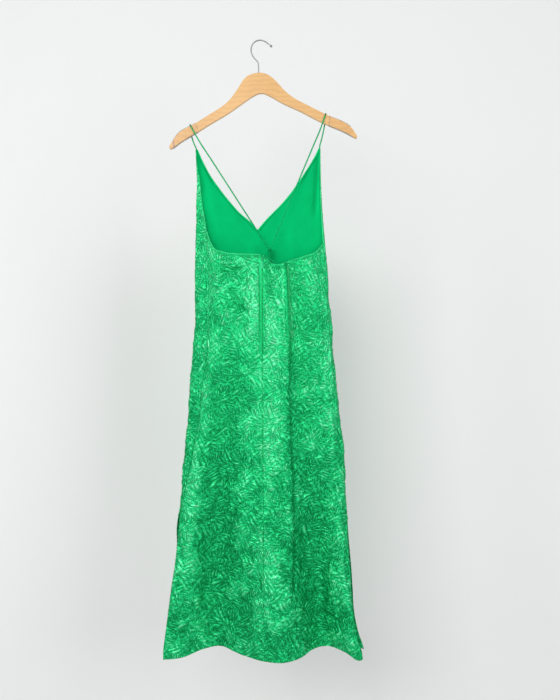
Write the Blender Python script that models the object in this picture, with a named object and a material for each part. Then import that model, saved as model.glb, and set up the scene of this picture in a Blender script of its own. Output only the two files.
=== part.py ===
"""A slip dress in crushed satin, hung by its straps on a wooden hanger.

The dress is seen from its back, which faces -Y; its front faces +Y. The origin is where the
hanger's hook rests on its rail or nail, +Z is up. All sizes below are millimetres.
"""

import math

import bmesh
import bpy
import numpy as np
from mathutils import Matrix, Vector

MM = 0.001

# Walls and gaps
CLOTH_WALL = 1.2
LINING_WALL = 1.0
TAPE_WALL = 0.8
SEAM_GAP = 0.3

# Heights that the panels share, left and right as seen from the back
UNDERARM = {"left": -454.0, "right": -482.5}
SLIT_TOP = {"left": -1116.0, "right": -1149.0}
POINT = {"left": -257.0, "right": -254.0}
V_BOTTOM = {"across": -7.5, "height": -448.5}
LINING_END = -600.0
ZIP_END = -747.0
NECK_BAND = 24.0
FLARE_START = -900.0
FLARE_END = -1440.0
ROUNDNESS = 0.75  # power of the sine that draws a section's near and far sides

# Outline of the hanging dress, from the hem up. side: where both sides turn, in depth. near and
# far: how far the back and the front stand off that line. wraps: how far the front reaches
# round the side, as far as the side seam or the armhole. Below the slits a wrap is the back
# panel's own inset.
SECTION_COLUMNS = (
    "height", "left", "right", "side", "near", "far", "left_wrap", "right_wrap",
)
SECTIONS = (
    (-1480, -231.5, 249.0, 0.0, 26, 38, 0.6, 7.0),
    (-1445, -231.0, 246.0, 0.0, 26, 38, 0.6, 7.0),
    (-1416, -227.3, 236.0, 0.0, 27, 38, 0.6, 6.5),
    (-1359, -220.0, 224.0, 0.0, 28, 37, 0.6, 5.0),
    (-1302, -213.0, 220.0, 0.0, 29, 37, 0.8, 4.8),
    (-1245, -204.5, 216.0, 0.0, 30, 36, 1.0, 4.5),
    (-1195, -199.5, 211.0, 0.0, 30, 36, 2.0, 2.6),
    (-1165, -200.0, 208.5, 0.0, 30, 36, 5.5, 1.8),
    (-1130, -196.5, 206.5, 0.0, 30, 35, 5.0, 1.8),
    (-1073, -189.0, 203.5, 0.0, 30, 35, 9.0, 2.6),
    (-1016, -184.5, 201.0, 0.0, 30, 34, 18.0, 3.2),
    (-959, -179.7, 198.0, 0.0, 30, 34, 23.0, 4.0),
    (-902, -173.0, 191.6, 0.0, 29, 33, 28.0, 4.5),
    (-845, -170.2, 184.5, 0.0, 29, 32, 30.0, 5.0),
    (-788, -165.4, 178.0, 0.0, 28, 31, 31.0, 5.5),
    (-731, -160.7, 173.0, 0.0, 27, 30, 31.0, 6.0),
    (-673, -156.5, 169.5, 0.0, 26, 28, 33.0, 6.0),
    (-616, -156.0, 164.0, 0.0, 24, 26, 34.0, 6.0),
    (-559, -156.0, 160.5, -0.5, 21, 23, 32.0, 5.5),
    (-502, -155.5, 155.8, -0.5, 18, 20, 28.0, 5.0),
    (-450, -153.5, 151.6, 0.0, 16, 16, 24.5, 4.0),
    (-388, -153.0, 146.4, 3.0, 11, 12, 14.0, 2.6),
    (-331, -151.5, 144.0, 6.0, 7, 8, 5.5, 1.6),
    (-293, -153.5, 143.3, 8.0, 5, 5, 2.6, 0.9),
    (-254, -155.4, 142.9, 9.4, 3, 2, 0.0, 0.0),
)

# Neckline of the front: the V's two edges at each height
V_COLUMNS = ("height", "left", "right")
V_EDGES = (
    (-448.5, -7.5, -7.5),
    (-426, -28.5, 11.5),
    (-407, -51.0, 30.0),
    (-388, -68.0, 49.0),
    (-369, -84.0, 65.5),
    (-350, -98.5, 80.0),
    (-331, -112.5, 93.5),
    (-312, -124.5, 106.0),
    (-293, -134.5, 118.5),
    (-274, -143.5, 129.5),
    (-254, -151.6, 139.2),
)

# Neckline of the back, across from the left side seam to the right one
BACK_NECK_COLUMNS = ("across", "height")
BACK_NECK = (
    (-128.0, -454.0),
    (-122.0, -472.0),
    (-114.0, -489.0),
    (-90.0, -503.5),
    (-48.0, -508.5),
    (2.6, -512.0),
    (14.0, -515.5),
    (24.0, -529.0),
    (40.0, -534.5),
    (70.0, -525.0),
    (105.0, -513.5),
    (136.0, -499.0),
    (149.5, -482.5),
)

# Hems. part: how far across the width. depth: -Y is towards the back.
HEM_COLUMNS = ("part", "depth", "height")
BACK_HEM = (
    (0.00, 0, -1470),
    (0.10, -6, -1464),
    (0.20, 7, -1449),
    (0.28, 10, -1443),
    (0.38, -14, -1454),
    (0.50, -44, -1462),
    (0.60, -50, -1463),
    (0.68, -38, -1456),
    (0.75, -10, -1444),
    (0.82, 7, -1442),
    (0.90, -10, -1449),
    (0.97, -14, -1464),
    (1.00, -6, -1459),
)
FRONT_HEM = (
    (0.00, 0, -1450),
    (0.16, 38, -1446),
    (0.32, 26, -1449),
    (0.50, 40, -1446),
    (0.66, 27, -1449),
    (0.84, 40, -1446),
    (1.00, -6, -1451),
)
SLIT_SPREAD = {"left": 8.0, "right": 20.0}
SLIT_REACH = 0.10

# Folds and troughs: a line from one end to the other, bowed sideways, with its own width on
# each side. raised: how far it stands out, less than nothing for a trough.
FOLD_COLUMNS = (
    "x_top", "z_top", "x_low", "z_low", "bow", "left_width", "right_width", "raised",
)
BACK_FOLDS = (
    (53.0, -516, 80.0, -1400, 7.0, 24, 5.0, 10.0),
    (70.0, -540, 98.0, -1400, 7.0, 9, 20.0, -4.0),
    (-16.0, -560, -12.0, -720, -4.0, 14, 12.0, 4.0),
    (-93.0, -538, -42.0, -554, -2.0, 5, 7.0, -3.5),
    (-75.0, -600, -38.0, -655, 2.0, 6, 7.0, -3.0),
    (-122.0, -480, -112.0, -900, -6.0, 5, 12.0, 3.0),
    (118.0, -520, 140.0, -760, 6.0, 14, 10.0, 3.0),
)
FRONT_FOLDS = (
    (-96.0, -470, -110.0, -1250, -8.0, 18, 12.0, 4.0),
    (-20.0, -520, -30.0, -1300, 6.0, 16, 20.0, 5.0),
    (84.0, -480, 108.0, -1280, 8.0, 14, 18.0, 4.5),
    (128.0, -262, 136.0, -440, 3.0, 6, 5.0, -3.0),
)

# Centre back seam and its zip
CENTRE_BACK = {"top": 2.6, "low": 9.0}
ZIP_TAPE_WIDTH = 10.0
ZIP_MOUTH = {"half_width": 2.2, "height": 21.0}

# Straps, knot and tie
STRAP_RADIUS = 1.6
KNOT = {"x": 22.3, "z": -501.5, "width": 8.0, "depth": 6.5}
KNOT_COLUMNS = ("radius", "above")  # of its turned shape, a bead with the end that holds the tie
KNOT_PROFILE = (
    (1.6, 4.3),
    (3.0, 3.4),
    (3.9, 1.4),
    (3.9, -1.4),
    (2.8, -3.6),
    (1.6, -5.2),
    (1.5, -10.0),
    (1.5, -14.6),
)
TIE_ENDS = {"left": (10.0, -513.0), "low": (22.5, -519.5), "right": (38.0, -532.5)}

# Zip slider and pull
SLIDER = {"width": 6.0, "height": 10.0, "depth": 2.6, "bridge": 1.4, "bar": 1.2, "window": 3.2}
PULL = {"length": 25.0, "width": 6.4, "wall": 1.0, "hole_width": 3.0, "hole_height": 3.9}
PULL_DROP = 9.0  # from the zip's top edge to the pull's hinge line

# Hanger
HANGER_THICKNESS = 12.0
HANGER_CHAMFER = 2.6
ARM_COLUMNS = ("x", "top", "low")
ARM_STATIONS = (
    (-216.5, -251.5, -256.5),
    (-213.5, -246.5, -258.0),
    (-209.0, -239.5, -256.0),
    (-201.0, -227.0, -250.5),
    (-191.5, -217.0, -243.0),
    (-177.0, -208.5, -234.0),
    (-163.0, -201.5, -225.5),
    (-148.5, -193.5, -217.5),
    (-125.0, -178.5, -202.0),
    (-101.0, -164.0, -188.0),
    (-82.0, -150.5, -177.0),
    (-68.0, -136.0, -167.5),
    (-54.0, -115.5, -157.5),
    (-44.0, -98.0, -150.5),
    (-34.0, -85.5, -143.5),
    (-20.0, -79.5, -133.5),
    (-6.0, -76.5, -126.0),
    (6.0, -77.0, -124.0),
    (18.0, -81.0, -129.5),
    (32.0, -91.5, -137.0),
    (46.0, -107.0, -145.5),
    (60.0, -122.5, -152.5),
    (75.0, -134.5, -159.5),
    (94.0, -145.5, -167.5),
    (113.0, -154.5, -177.5),
    (132.0, -164.5, -188.0),
    (151.0, -173.5, -197.0),
    (170.0, -182.7, -205.0),
    (189.0, -190.0, -212.5),
    (203.0, -197.0, -219.0),
    (213.0, -204.0, -224.5),
    (220.0, -212.0, -229.0),
    (226.0, -222.0, -232.5),
    (229.5, -226.5, -231.5),
)
SLEEVE_SPANS = {"left": (-208.0, -148.5), "right": (161.5, 219.0)}
SLEEVE_WALL = 0.8
SLEEVE_CLEARANCE = 0.3
HOOK_RADIUS = 1.45
HOOK_TIP_RADIUS = 2.9
HOOK_BORE = {"radius": 1.75, "depth": 15.0}
HOOK_LINE = (
    (-4.6, -90.5), (-4.6, -76.0), (-4.8, -60.0), (-5.5, -52.0), (-10.6, -45.5), (-17.0, -38.5),
    (-20.8, -31.0), (-22.4, -22.5), (-21.4, -14.0), (-17.6, -6.6), (-11.6, -1.2), (-4.5, 1.4),
    (2.6, 1.5), (8.6, -0.4), (15.0, -4.2), (21.0, -8.6), (25.4, -12.4),
)

COLOURS = {
    "satin": ((0.03, 0.52, 0.20, 1), 0.38, 0.0),
    "lining": ((0.005, 0.47, 0.15, 1), 0.85, 0.0),
    "cord": ((0.02, 0.40, 0.15, 1), 0.45, 0.0),
    "wood": ((0.80, 0.50, 0.22, 1), 0.45, 0.0),
    "clear_plastic": ((0.80, 0.76, 0.74, 0.35), 0.20, 0.0),
    "steel": ((0.66, 0.66, 0.66, 1), 0.25, 1.0),
    "green_enamel": ((0.03, 0.42, 0.17, 1), 0.35, 0.2),
}


def columns(names, rows):
    """A table's rows as one array for each named column, sorted by the first."""
    ordered = np.array(sorted(rows), float)
    return dict(zip(names, ordered.T))


def curve_through(knots, values, at):
    """A smooth curve through the knots, level beyond its ends."""
    at = np.clip(at, knots[0], knots[-1])
    slopes = np.gradient(values, knots)
    i = np.clip(np.searchsorted(knots, at) - 1, 0, len(knots) - 2)
    span = knots[i + 1] - knots[i]
    s = (at - knots[i]) / span
    rise = values[i + 1] - values[i]
    start = slopes[i] * span
    end = slopes[i + 1] * span
    squared = 3 * rise - 2 * start - end
    cubed = start + end - 2 * rise
    return values[i] + s * (start + s * (squared + s * cubed))


def smooth(s):
    s = np.clip(s, 0.0, 1.0)
    return s * s * (3 - 2 * s)


SECTION = columns(SECTION_COLUMNS, SECTIONS)
V_EDGE = columns(V_COLUMNS, V_EDGES)
NECK = columns(BACK_NECK_COLUMNS, BACK_NECK)
HEM_BACK = columns(HEM_COLUMNS, BACK_HEM)
HEM_FRONT = columns(HEM_COLUMNS, FRONT_HEM)
ARM = columns(ARM_COLUMNS, ARM_STATIONS)


def section(column, z):
    return curve_through(SECTION["height"], SECTION[column], z)


def folds(rows, x, z):
    """How far the listed folds stand out at x, z."""
    total = np.zeros(np.broadcast(x, z).shape)
    for x_top, z_top, x_low, z_low, bow, left_width, right_width, raised in rows:
        length = math.hypot(x_low - x_top, z_low - z_top)
        along_x = (x_low - x_top) / length
        along_z = (z_low - z_top) / length
        s = ((x - x_top) * along_x + (z - z_top) * along_z) / length
        off = (x - x_top) * -along_z + (z - z_top) * along_x
        off = off - bow * 4 * np.clip(s, 0, 1) * (1 - np.clip(s, 0, 1))
        width = np.where(off < 0, left_width, right_width)
        ends = smooth(s / 0.12 + 0.5) * smooth((1 - s) / 0.25)
        total = total + raised * ends * np.exp(-((off / width) ** 2))
    return total


def ring_point(q, z):
    """A point of the dress's middle surface. q goes round it: 0 to 1 across the front from left
    to right, 1 to 2 back across the back, and -1 to 0 is the same as 1 to 2."""
    q, z = np.broadcast_arrays(np.asarray(q, float), np.asarray(z, float))
    turn = np.mod(q, 2.0)
    on_front = turn <= 1.0
    across = np.where(on_front, turn, 2.0 - turn)
    left = section("left", z)
    right = section("right", z)
    part = 0.5 - 0.5 * np.cos(math.pi * across)
    x = left + (right - left) * part
    bulge = np.sin(math.pi * across) ** ROUNDNESS
    flare = smooth((FLARE_START - z) / (FLARE_START - FLARE_END))
    side = section("side", z)
    hem_depth = np.where(
        on_front,
        curve_through(HEM_FRONT["part"], HEM_FRONT["depth"], part),
        curve_through(HEM_BACK["part"], HEM_BACK["depth"], part),
    )
    hang = side + np.where(on_front, section("far", z), -section("near", z)) * bulge
    y = hang + (hem_depth - hang) * flare
    out = np.where(on_front, 1.0, -1.0)
    for name, distance in (("left", part), ("right", 1 - part)):
        opened = smooth((SLIT_TOP[name] - z) / (SLIT_TOP[name] - FLARE_END))
        y = y + out * SLIT_SPREAD[name] * opened * np.exp(-((distance / SLIT_REACH) ** 2))
    raised = np.where(on_front, folds(FRONT_FOLDS, x, z), folds(BACK_FOLDS, x, z))
    y = y + out * raised * bulge
    return np.stack([x, y, z], axis=-1)


def ring_normal(q, z):
    """The direction out of the dress at q, z."""
    round_it = ring_point(q + 0.004, z) - ring_point(q - 0.004, z)
    up = ring_point(q, z + 2.0) - ring_point(q, z - 2.0)
    out = np.cross(up, round_it)
    return out / np.linalg.norm(out, axis=-1, keepdims=True)


def ring_speed(q, z):
    """Millimetres along the section for each unit of q."""
    step = ring_point(q + 0.002, z) - ring_point(q - 0.002, z)
    return np.linalg.norm(step, axis=-1) / 0.004


def across_at(x, z):
    """How far across, 0 to 1, the section at z reaches x."""
    left = section("left", z)
    width = section("right", z) - left
    return np.arccos(np.clip(1 - 2 * (x - left) / width, -1, 1)) / math.pi


def wrap_across(side, z):
    """The same for a wrap's end, counted from its own side."""
    width = section("right", z) - section("left", z)
    return np.arccos(np.clip(1 - 2 * section(side + "_wrap", z) / width, -1, 1)) / math.pi


def front_edge(side, z):
    """How far past the turn the front's own edge lies: the wrap, or nothing down a slit."""
    closed = smooth(1 - (SLIT_TOP[side] - z) / 30.0)
    return wrap_across(side, z) * closed


def centre_back(z):
    down = (UNDERARM["left"] - z) / (UNDERARM["left"] - FLARE_END)
    return CENTRE_BACK["top"] + (CENTRE_BACK["low"] - CENTRE_BACK["top"]) * np.clip(down, 0, 1)


def centre_gap(z):
    """Half the gap between the two back panels: a seam's, and wider at the zip's mouth."""
    mouth = np.clip((z - (BACK_NECK[5][1] - ZIP_MOUTH["height"])) / ZIP_MOUTH["height"], 0, 1)
    return SEAM_GAP / 2 + (ZIP_MOUTH["half_width"] - SEAM_GAP / 2) * mouth


def pleat_line(z):
    """Across to the crest of the long fold beside the zip."""
    x_top, z_top, x_low, z_low, bow = BACK_FOLDS[0][:5]
    s = np.clip((z_top - z) / (z_top - z_low), 0, 1)
    return x_top + (x_low - x_top) * s + bow * 4 * s * (1 - s)


def spread(stations, counts):
    """Values evenly spaced between stations, counts[i] steps in each stretch."""
    rows = [stations[0]]
    for low, high, count in zip(stations, stations[1:], counts):
        for step in range(1, count + 1):
            rows.append(low + (high - low) * step / count)
    return np.array(rows)


ROW_COUNTS = (8, 8, 4, 3, 1)


def back_panel(stations, counts):
    """Grid of q and z for a back panel, whose columns run through the given stations: each
    station is a function of height that says how far across it lies."""
    share = spread(range(len(stations)), counts)

    def column_across(z):
        values = np.stack([station(z) for station in stations], axis=-1)
        low = np.clip(share.astype(int), 0, len(stations) - 2)
        part = share - low
        picked = np.arange(len(share))
        return values[picked, low] * (1 - part) + values[picked, low + 1] * part

    def x_of(z):
        return ring_point(-column_across(z), z)[..., 0]

    top = np.full(len(share), -500.0)
    hem = np.full(len(share), -1455.0)
    for _ in range(8):
        top = curve_through(NECK["across"], NECK["height"], x_of(top))
        left = section("left", hem)
        part = (x_of(hem) - left) / (section("right", hem) - left)
        hem = curve_through(HEM_BACK["part"], HEM_BACK["height"], part)
    middle = x_of(np.full(len(share), -1100.0))
    left = section("left", -1100.0) + section("left_wrap", -1100.0)
    right = section("right", -1100.0) - section("right_wrap", -1100.0)
    part = np.clip((middle - left) / (right - left), 0, 1)
    slit = SLIT_TOP["left"] + (SLIT_TOP["right"] - SLIT_TOP["left"]) * part
    level = np.ones(len(share))
    heights = spread(
        [hem, slit, ZIP_END * level, LINING_END * level, top - NECK_BAND, top], ROW_COUNTS
    )
    q = np.stack([-column_across(row) for row in heights])
    return q, heights


def seam_left(z):
    across = wrap_across("left", z)
    return across + SEAM_GAP / 2 / ring_speed(-across, z)


def seam_right(z):
    across = 1 - wrap_across("right", z)
    return across - SEAM_GAP / 2 / ring_speed(-across, z)


def faces_of(index):
    """The grid's triangles, from its vertex numbers, rows going up. Every layer of cloth on one
    grid is cut along the same diagonals, so that the layers stay parallel."""
    faces = []
    for r in range(index.shape[0] - 1):
        for c in range(index.shape[1] - 1):
            a, b = int(index[r, c]), int(index[r, c + 1])
            d, e = int(index[r + 1, c]), int(index[r + 1, c + 1])
            faces += [(a, b, e), (a, e, d)]
    return faces


def material(name):
    if name in bpy.data.materials:
        return bpy.data.materials[name]
    made = bpy.data.materials.new(name)
    made.use_nodes = True
    colour, roughness, metallic = COLOURS[name]
    shader = made.node_tree.nodes["Principled BSDF"]
    shader.inputs["Base Color"].default_value = colour
    shader.inputs["Roughness"].default_value = roughness
    shader.inputs["Metallic"].default_value = metallic
    shader.inputs["Alpha"].default_value = colour[3]
    return made


def add_object(name, data, finish, parent=None):
    data.materials.append(material(finish))
    made = bpy.data.objects.new(name, data)
    bpy.context.scene.collection.objects.link(made)
    if parent:
        made.parent = parent
        made.matrix_parent_inverse = parent.matrix_world.inverted()
    return made


def mesh_of(name, points, faces, smooth_under=None):
    """A closed mesh from points in millimetres, its faces turned out."""
    made = bpy.data.meshes.new(name)
    made.from_pydata([tuple(float(v) * MM for v in p) for p in points], [], faces)
    shape = bmesh.new()
    shape.from_mesh(made)
    bmesh.ops.recalc_face_normals(shape, faces=shape.faces)
    shape.to_mesh(made)
    shape.free()
    if smooth_under:
        made.shade_smooth()
        made.set_sharp_from_angle(angle=math.radians(smooth_under))
    return made


def cloth_shell(name, points, normals, layer, wall, moved, finish):
    """A wall of cloth round a middle surface, moved in or out along its normals."""
    outer = points + normals * (moved + wall / 2)
    inner = points + normals * (moved - wall / 2)
    count = len(points)
    faces = layer + [tuple(v + count for v in reversed(face)) for face in layer]
    edges = {edge for face in layer for edge in zip(face, face[1:] + face[:1])}
    for a, b in sorted(edges):
        if (b, a) not in edges:
            faces.append((b, a, a + count, b + count))
    used = sorted({v for face in faces for v in face})
    renumber = {v: i for i, v in enumerate(used)}
    both = np.concatenate([outer, inner])
    data = mesh_of(name, both[used], [tuple(renumber[v] for v in face) for face in faces], 40)
    return add_object(name, data, finish)


def front_grids():
    """Points of the front panel: one grid to each side of its middle, which is the V's edge
    above the V's bottom. Rows go from the hem to the two points."""
    half = 14
    share = np.linspace(0, 1, half + 1)
    low_rows = sum(ROW_COUNTS)
    horn_rows = 9
    grids = {}
    for side in ("left", "right"):
        v_across = across_at(V_BOTTOM["across"], V_BOTTOM["height"])

        def rows_q(z, middle):
            edge = front_edge(side, z)
            trim = SEAM_GAP / 2 / ring_speed(-edge if side == "left" else 1 + edge, z)
            if side == "left":
                start = -edge + trim
                return start + (middle - start) * share
            end = 1 + edge - trim
            return middle + (end - middle) * share

        slit = SLIT_TOP[side] + (sum(SLIT_TOP.values()) / 2 - SLIT_TOP[side]) * (
            share if side == "left" else 1 - share
        )
        under = UNDERARM[side] + (V_BOTTOM["height"] - UNDERARM[side]) * (
            share if side == "left" else 1 - share
        )
        hem = np.full(half + 1, -1448.0)
        for _ in range(4):
            part = 0.5 - 0.5 * np.cos(math.pi * np.clip(rows_q(hem, v_across), 0, 1))
            hem = curve_through(HEM_FRONT["part"], HEM_FRONT["height"], part)
        level = np.ones(half + 1)
        heights = spread(
            [hem, slit, ZIP_END * level, LINING_END * level, under - NECK_BAND, under],
            ROW_COUNTS,
        )
        q = [rows_q(row, across_at(V_BOTTOM["across"], row)) for row in heights]
        horn = heights[-1] + (POINT[side] - heights[-1]) * (
            np.linspace(0, 1, horn_rows + 1)[1:, None]
        )
        for row in horn:
            edge_x = curve_through(V_EDGE["height"], V_EDGE[side], row)
            q.append(rows_q(row, across_at(edge_x, row)))
        grids[side] = (np.stack(q), np.concatenate([heights, horn]))
    return grids, low_rows


def build_front():
    grids, v_row = front_grids()
    points, normals, index, used = [], [], {}, 0
    for side in ("left", "right"):
        q, z = grids[side]
        numbers = np.arange(q.size).reshape(q.shape) + used
        used += q.size
        if side == "right":
            numbers[: v_row + 1, 0] = index["left"][: v_row + 1, -1]
        index[side] = numbers
        points.append(ring_point(q, z).reshape(-1, 3))
        normals.append(ring_normal(q, z).reshape(-1, 3))
    points = np.concatenate(points)
    normals = np.concatenate(normals)
    layer = faces_of(index["left"]) + faces_of(index["right"])
    cloth_shell("front_panel", points, normals, layer, CLOTH_WALL, 0, "satin")
    lining_row = sum(ROW_COUNTS[:3])
    layer = faces_of(index["left"][lining_row:]) + faces_of(index["right"][lining_row:])
    moved = -(CLOTH_WALL / 2 + SEAM_GAP + LINING_WALL / 2)
    cloth_shell("front_lining", points, normals, layer, LINING_WALL, moved, "lining")


def build_back():
    def edge_left(z):
        return across_at(centre_back(z) - centre_gap(z), z)

    def edge_right(z):
        return across_at(centre_back(z) + centre_gap(z), z)

    def tape_left(z):
        return across_at(centre_back(z) - ZIP_TAPE_WIDTH, z)

    def tape_right(z):
        return across_at(centre_back(z) + ZIP_TAPE_WIDTH, z)

    def crest(z):
        return across_at(pleat_line(z), z)

    def foot(z):
        return across_at(pleat_line(z) + 8.0, z)

    zip_row = sum(ROW_COUNTS[:2])
    moved = -(CLOTH_WALL / 2 + SEAM_GAP + TAPE_WALL / 2)
    panels = (
        ("left", (seam_left, tape_left, edge_left), (13, 1), slice(13, 15)),
        ("right", (edge_right, tape_right, crest, foot, seam_right), (1, 5, 2, 9), slice(0, 2)),
    )
    for side, stations, counts, tape in panels:
        q, z = back_panel(stations, counts)
        points = ring_point(q, z).reshape(-1, 3)
        normals = ring_normal(q, z).reshape(-1, 3)
        index = np.arange(q.size).reshape(q.shape)
        layer = faces_of(index)
        cloth_shell("back_" + side, points, normals, layer, CLOTH_WALL, 0, "satin")
        layer = faces_of(index[zip_row:, tape])
        cloth_shell("zip_tape_" + side, points, normals, layer, TAPE_WALL, moved, "cord")


def tube(name, line, radius, finish, sides=2, step=6.0):
    """A round cord or wire along a smooth curve through the given points."""
    line = np.array(line, float)
    lengths = np.concatenate([[0], np.cumsum(np.linalg.norm(np.diff(line, axis=0), axis=1))])
    at = np.linspace(0, lengths[-1], max(4, int(lengths[-1] / step)))
    points = np.stack([curve_through(lengths, line[:, k], at) for k in range(3)], axis=1)
    data = bpy.data.curves.new(name, "CURVE")
    data.dimensions = "3D"
    data.bevel_depth = radius * MM
    data.bevel_resolution = sides
    data.use_fill_caps = True
    spline = data.splines.new("POLY")
    spline.points.add(len(points) - 1)
    for place, point in zip(spline.points, points):
        place.co = (*[v * MM for v in point], 1)
    return add_object(name, data, finish)


def over_the_arm(x, sleeve, front_low, back_low):
    """A strap's line up behind the arm at x, over its top and down in front."""
    reach = HANGER_THICKNESS / 2 + sleeve + 2 * SEAM_GAP + STRAP_RADIUS
    before, here, after = (curve_through(ARM["x"], ARM["top"], x + step) for step in (-3, 0, 3))
    slope = (after - before) / 6
    rise = (sleeve + 2 * SEAM_GAP + STRAP_RADIUS) * math.hypot(1, slope) + 0.4
    top = here + rise
    corner = reach - 2.0
    return [
        (back_low[0], reach, back_low[1]),
        (x, reach, top - 6.0),
        (x, corner, top - 1.6),
        (x, corner - 3.5, top),
        (x, 3.5 - corner, top),
        (x, -corner, top - 1.6),
        (x, -reach, top - 6.0),
        (front_low[0], -reach, front_low[1]),
    ]


def build_straps():
    knot_y = float(ring_point(-across_at(KNOT["x"], -516.0), -516.0)[1]) - 2.5
    sleeve = SLEEVE_CLEARANCE + SLEEVE_WALL
    straps = (
        ("left", -167.5, sleeve, (-149.5, -233.0), (-161.5, -236.0), (-2.6, 4.5)),
        ("right", 155.5, 0.0, (145.0, -204.0), (151.5, -206.0), (1.8, 5.0)),
    )
    for side, x, cover, front_low, back_low, reach in straps:
        point_x = {"left": -153.4, "right": 141.0}[side]
        line = [(point_x, 9.4, POINT[side] + 3 * SEAM_GAP)]
        line.append(((point_x + back_low[0]) / 2, 9.4, (POINT[side] + back_low[1]) / 2))
        line += over_the_arm(x, cover, front_low, back_low)
        end = (KNOT["x"] + reach[0], knot_y, KNOT["z"] + reach[1])
        start = line[-1]
        for part in (0.2, 0.4, 0.6, 0.8, 1.0):
            line.append(tuple(a + (b - a) * part for a, b in zip(start, end)))
        tube("strap_" + side, line, STRAP_RADIUS, "cord", sides=2, step=5.0)
    turned, faces, count = [], [], 12
    for radius, above in KNOT_PROFILE:
        for k in range(count):
            angle = 2 * math.pi * k / count
            turned.append((
                KNOT["x"] + radius * math.cos(angle),
                knot_y + radius * math.sin(angle) * KNOT["depth"] / KNOT["width"],
                KNOT["z"] + above,
            ))
    for s in range(len(KNOT_PROFILE) - 1):
        for k in range(count):
            n = (k + 1) % count
            a, b = s * count, (s + 1) * count
            faces.append((a + k, a + n, b + n, b + k))
    faces += [tuple(range(count)), tuple(range(len(turned) - count, len(turned)))]
    add_object("strap_knot", mesh_of("strap_knot", turned, faces, 50), "cord")
    tie = []
    for x, z in TIE_ENDS.values():
        surface = float(ring_point(-across_at(x, z), z)[1])
        tie.append((x, surface - CLOTH_WALL / 2 - SEAM_GAP - STRAP_RADIUS, z))
    tube("strap_tie", tie, STRAP_RADIUS, "cord", sides=2, step=4.0)


def box(shape, low, high):
    """A block from its two corners, in millimetres."""
    low, high = Vector(low), Vector(high)
    place = Matrix.Translation((low + high) / 2 * MM) @ Matrix.Diagonal((*((high - low) * MM), 1))
    bmesh.ops.create_cube(shape, size=1.0, matrix=place)


def solid_of_boxes(name, corners, finish):
    """One solid united from blocks."""
    base = None
    for i, (low, high) in enumerate(corners):
        data = bpy.data.meshes.new(f"{name}_{i}")
        shape = bmesh.new()
        box(shape, low, high)
        shape.to_mesh(data)
        shape.free()
        if base is None:
            base = add_object(name, data, finish)
            continue
        other = add_object(f"{name}_join_{i}", data, finish)
        other.hide_render = True
        other.display_type = "WIRE"
        joined = base.modifiers.new(f"join_{i}", "BOOLEAN")
        joined.operation = "UNION"
        joined.object = other
    return base


def build_zip_pull():
    top = BACK_NECK[5][1]
    hinge_z = top - PULL_DROP
    x = float(centre_back(hinge_z))
    heights = np.linspace(hinge_z + 6, hinge_z - PULL["length"] - 2, 12)
    widths = np.array([-PULL["width"] / 2, 0.0, PULL["width"] / 2])
    near = min(
        float(ring_point(-across_at(x + w, z), z)[1]) for w in widths for z in heights
    )
    hinge_y = near - CLOTH_WALL / 2 - 0.6 - PULL["wall"] / 2
    inside = float(ring_point(-across_at(x, hinge_z), hinge_z)[1])
    body_low = inside + CLOTH_WALL / 2 + 2 * SEAM_GAP + TAPE_WALL
    half_w = SLIDER["width"] / 2
    half_h = SLIDER["height"] / 2
    half_b = SLIDER["bridge"] / 2
    half_o = SLIDER["window"] / 2
    bar = SLIDER["bar"]
    outer = hinge_y - 1.25
    near_y, far_y = outer - bar, body_low + 1
    left_x, right_x = x - half_b, x + half_b
    top_z, low_z = hinge_z + half_o + bar, hinge_z - half_o - bar
    body = (
        (x - half_w, body_low, hinge_z - half_h),
        (x + half_w, body_low + SLIDER["depth"], hinge_z + half_h),
    )
    upper_leg = ((left_x, near_y, top_z - bar), (right_x, far_y, top_z))
    lower_leg = ((left_x, near_y, low_z), (right_x, far_y, low_z + bar))
    bridge = ((left_x, near_y, low_z), (right_x, outer, top_z))
    solid_of_boxes("zip_slider", (body, upper_leg, lower_leg, bridge), "green_enamel")
    axis = bpy.data.objects.new("zip_pull_axis", None)
    axis.location = (x * MM, hinge_y * MM, hinge_z * MM)
    bpy.context.scene.collection.objects.link(axis)
    bpy.context.view_layer.update()
    # The pull: a drop-shaped plate whose top bar, above its hole, lies on the hinge line.
    outline, hole = [], []
    hole_mid = -PULL["wall"] / 2 - PULL["hole_height"] / 2
    low = -(PULL["length"] - PULL["wall"] / 2)
    for k in range(24):
        angle = 2 * math.pi * k / 24
        side, up = math.sin(angle), math.cos(angle)
        hole.append((
            PULL["hole_width"] / 2 * math.copysign(min(1, abs(side) * 1.5), side),
            hole_mid + PULL["hole_height"] / 2 * math.copysign(min(1, abs(up) * 1.5), up),
        ))
        if up > -0.2:
            outline.append((
                2.6 * math.copysign(min(1, abs(side) * 1.25), side),
                PULL["wall"] / 2 + (1 - min(1, up * 1.6 + 0.35)) * hole_mid * 0.9,
            ))
        else:
            part = (-up - 0.2) / 0.8
            belly = max(0.0, math.sin(math.pi * (0.36 + 0.64 * part))) if part < 1 else 0.0
            width = PULL["width"] / 2 * belly**0.8
            start = hole_mid * 1.6
            outline.append((math.copysign(width, side), start + (low - start) * part))
    points, faces, count = [], [], 24
    for y in (-PULL["wall"] / 2, PULL["wall"] / 2):
        points += [(px, y, pz) for px, pz in outline] + [(px, y, pz) for px, pz in hole]
    for k in range(count):
        n = (k + 1) % count
        faces.append((k, n, n + count, k + count))
        faces.append((k + 2 * count, k + 3 * count, n + 3 * count, n + 2 * count))
        faces.append((k, k + 2 * count, n + 2 * count, n))
        faces.append((k + count, n + count, n + 3 * count, k + 3 * count))
    pull = add_object("zip_pull", mesh_of("zip_pull", points, faces, 35), "green_enamel")
    pull.parent = axis


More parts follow.
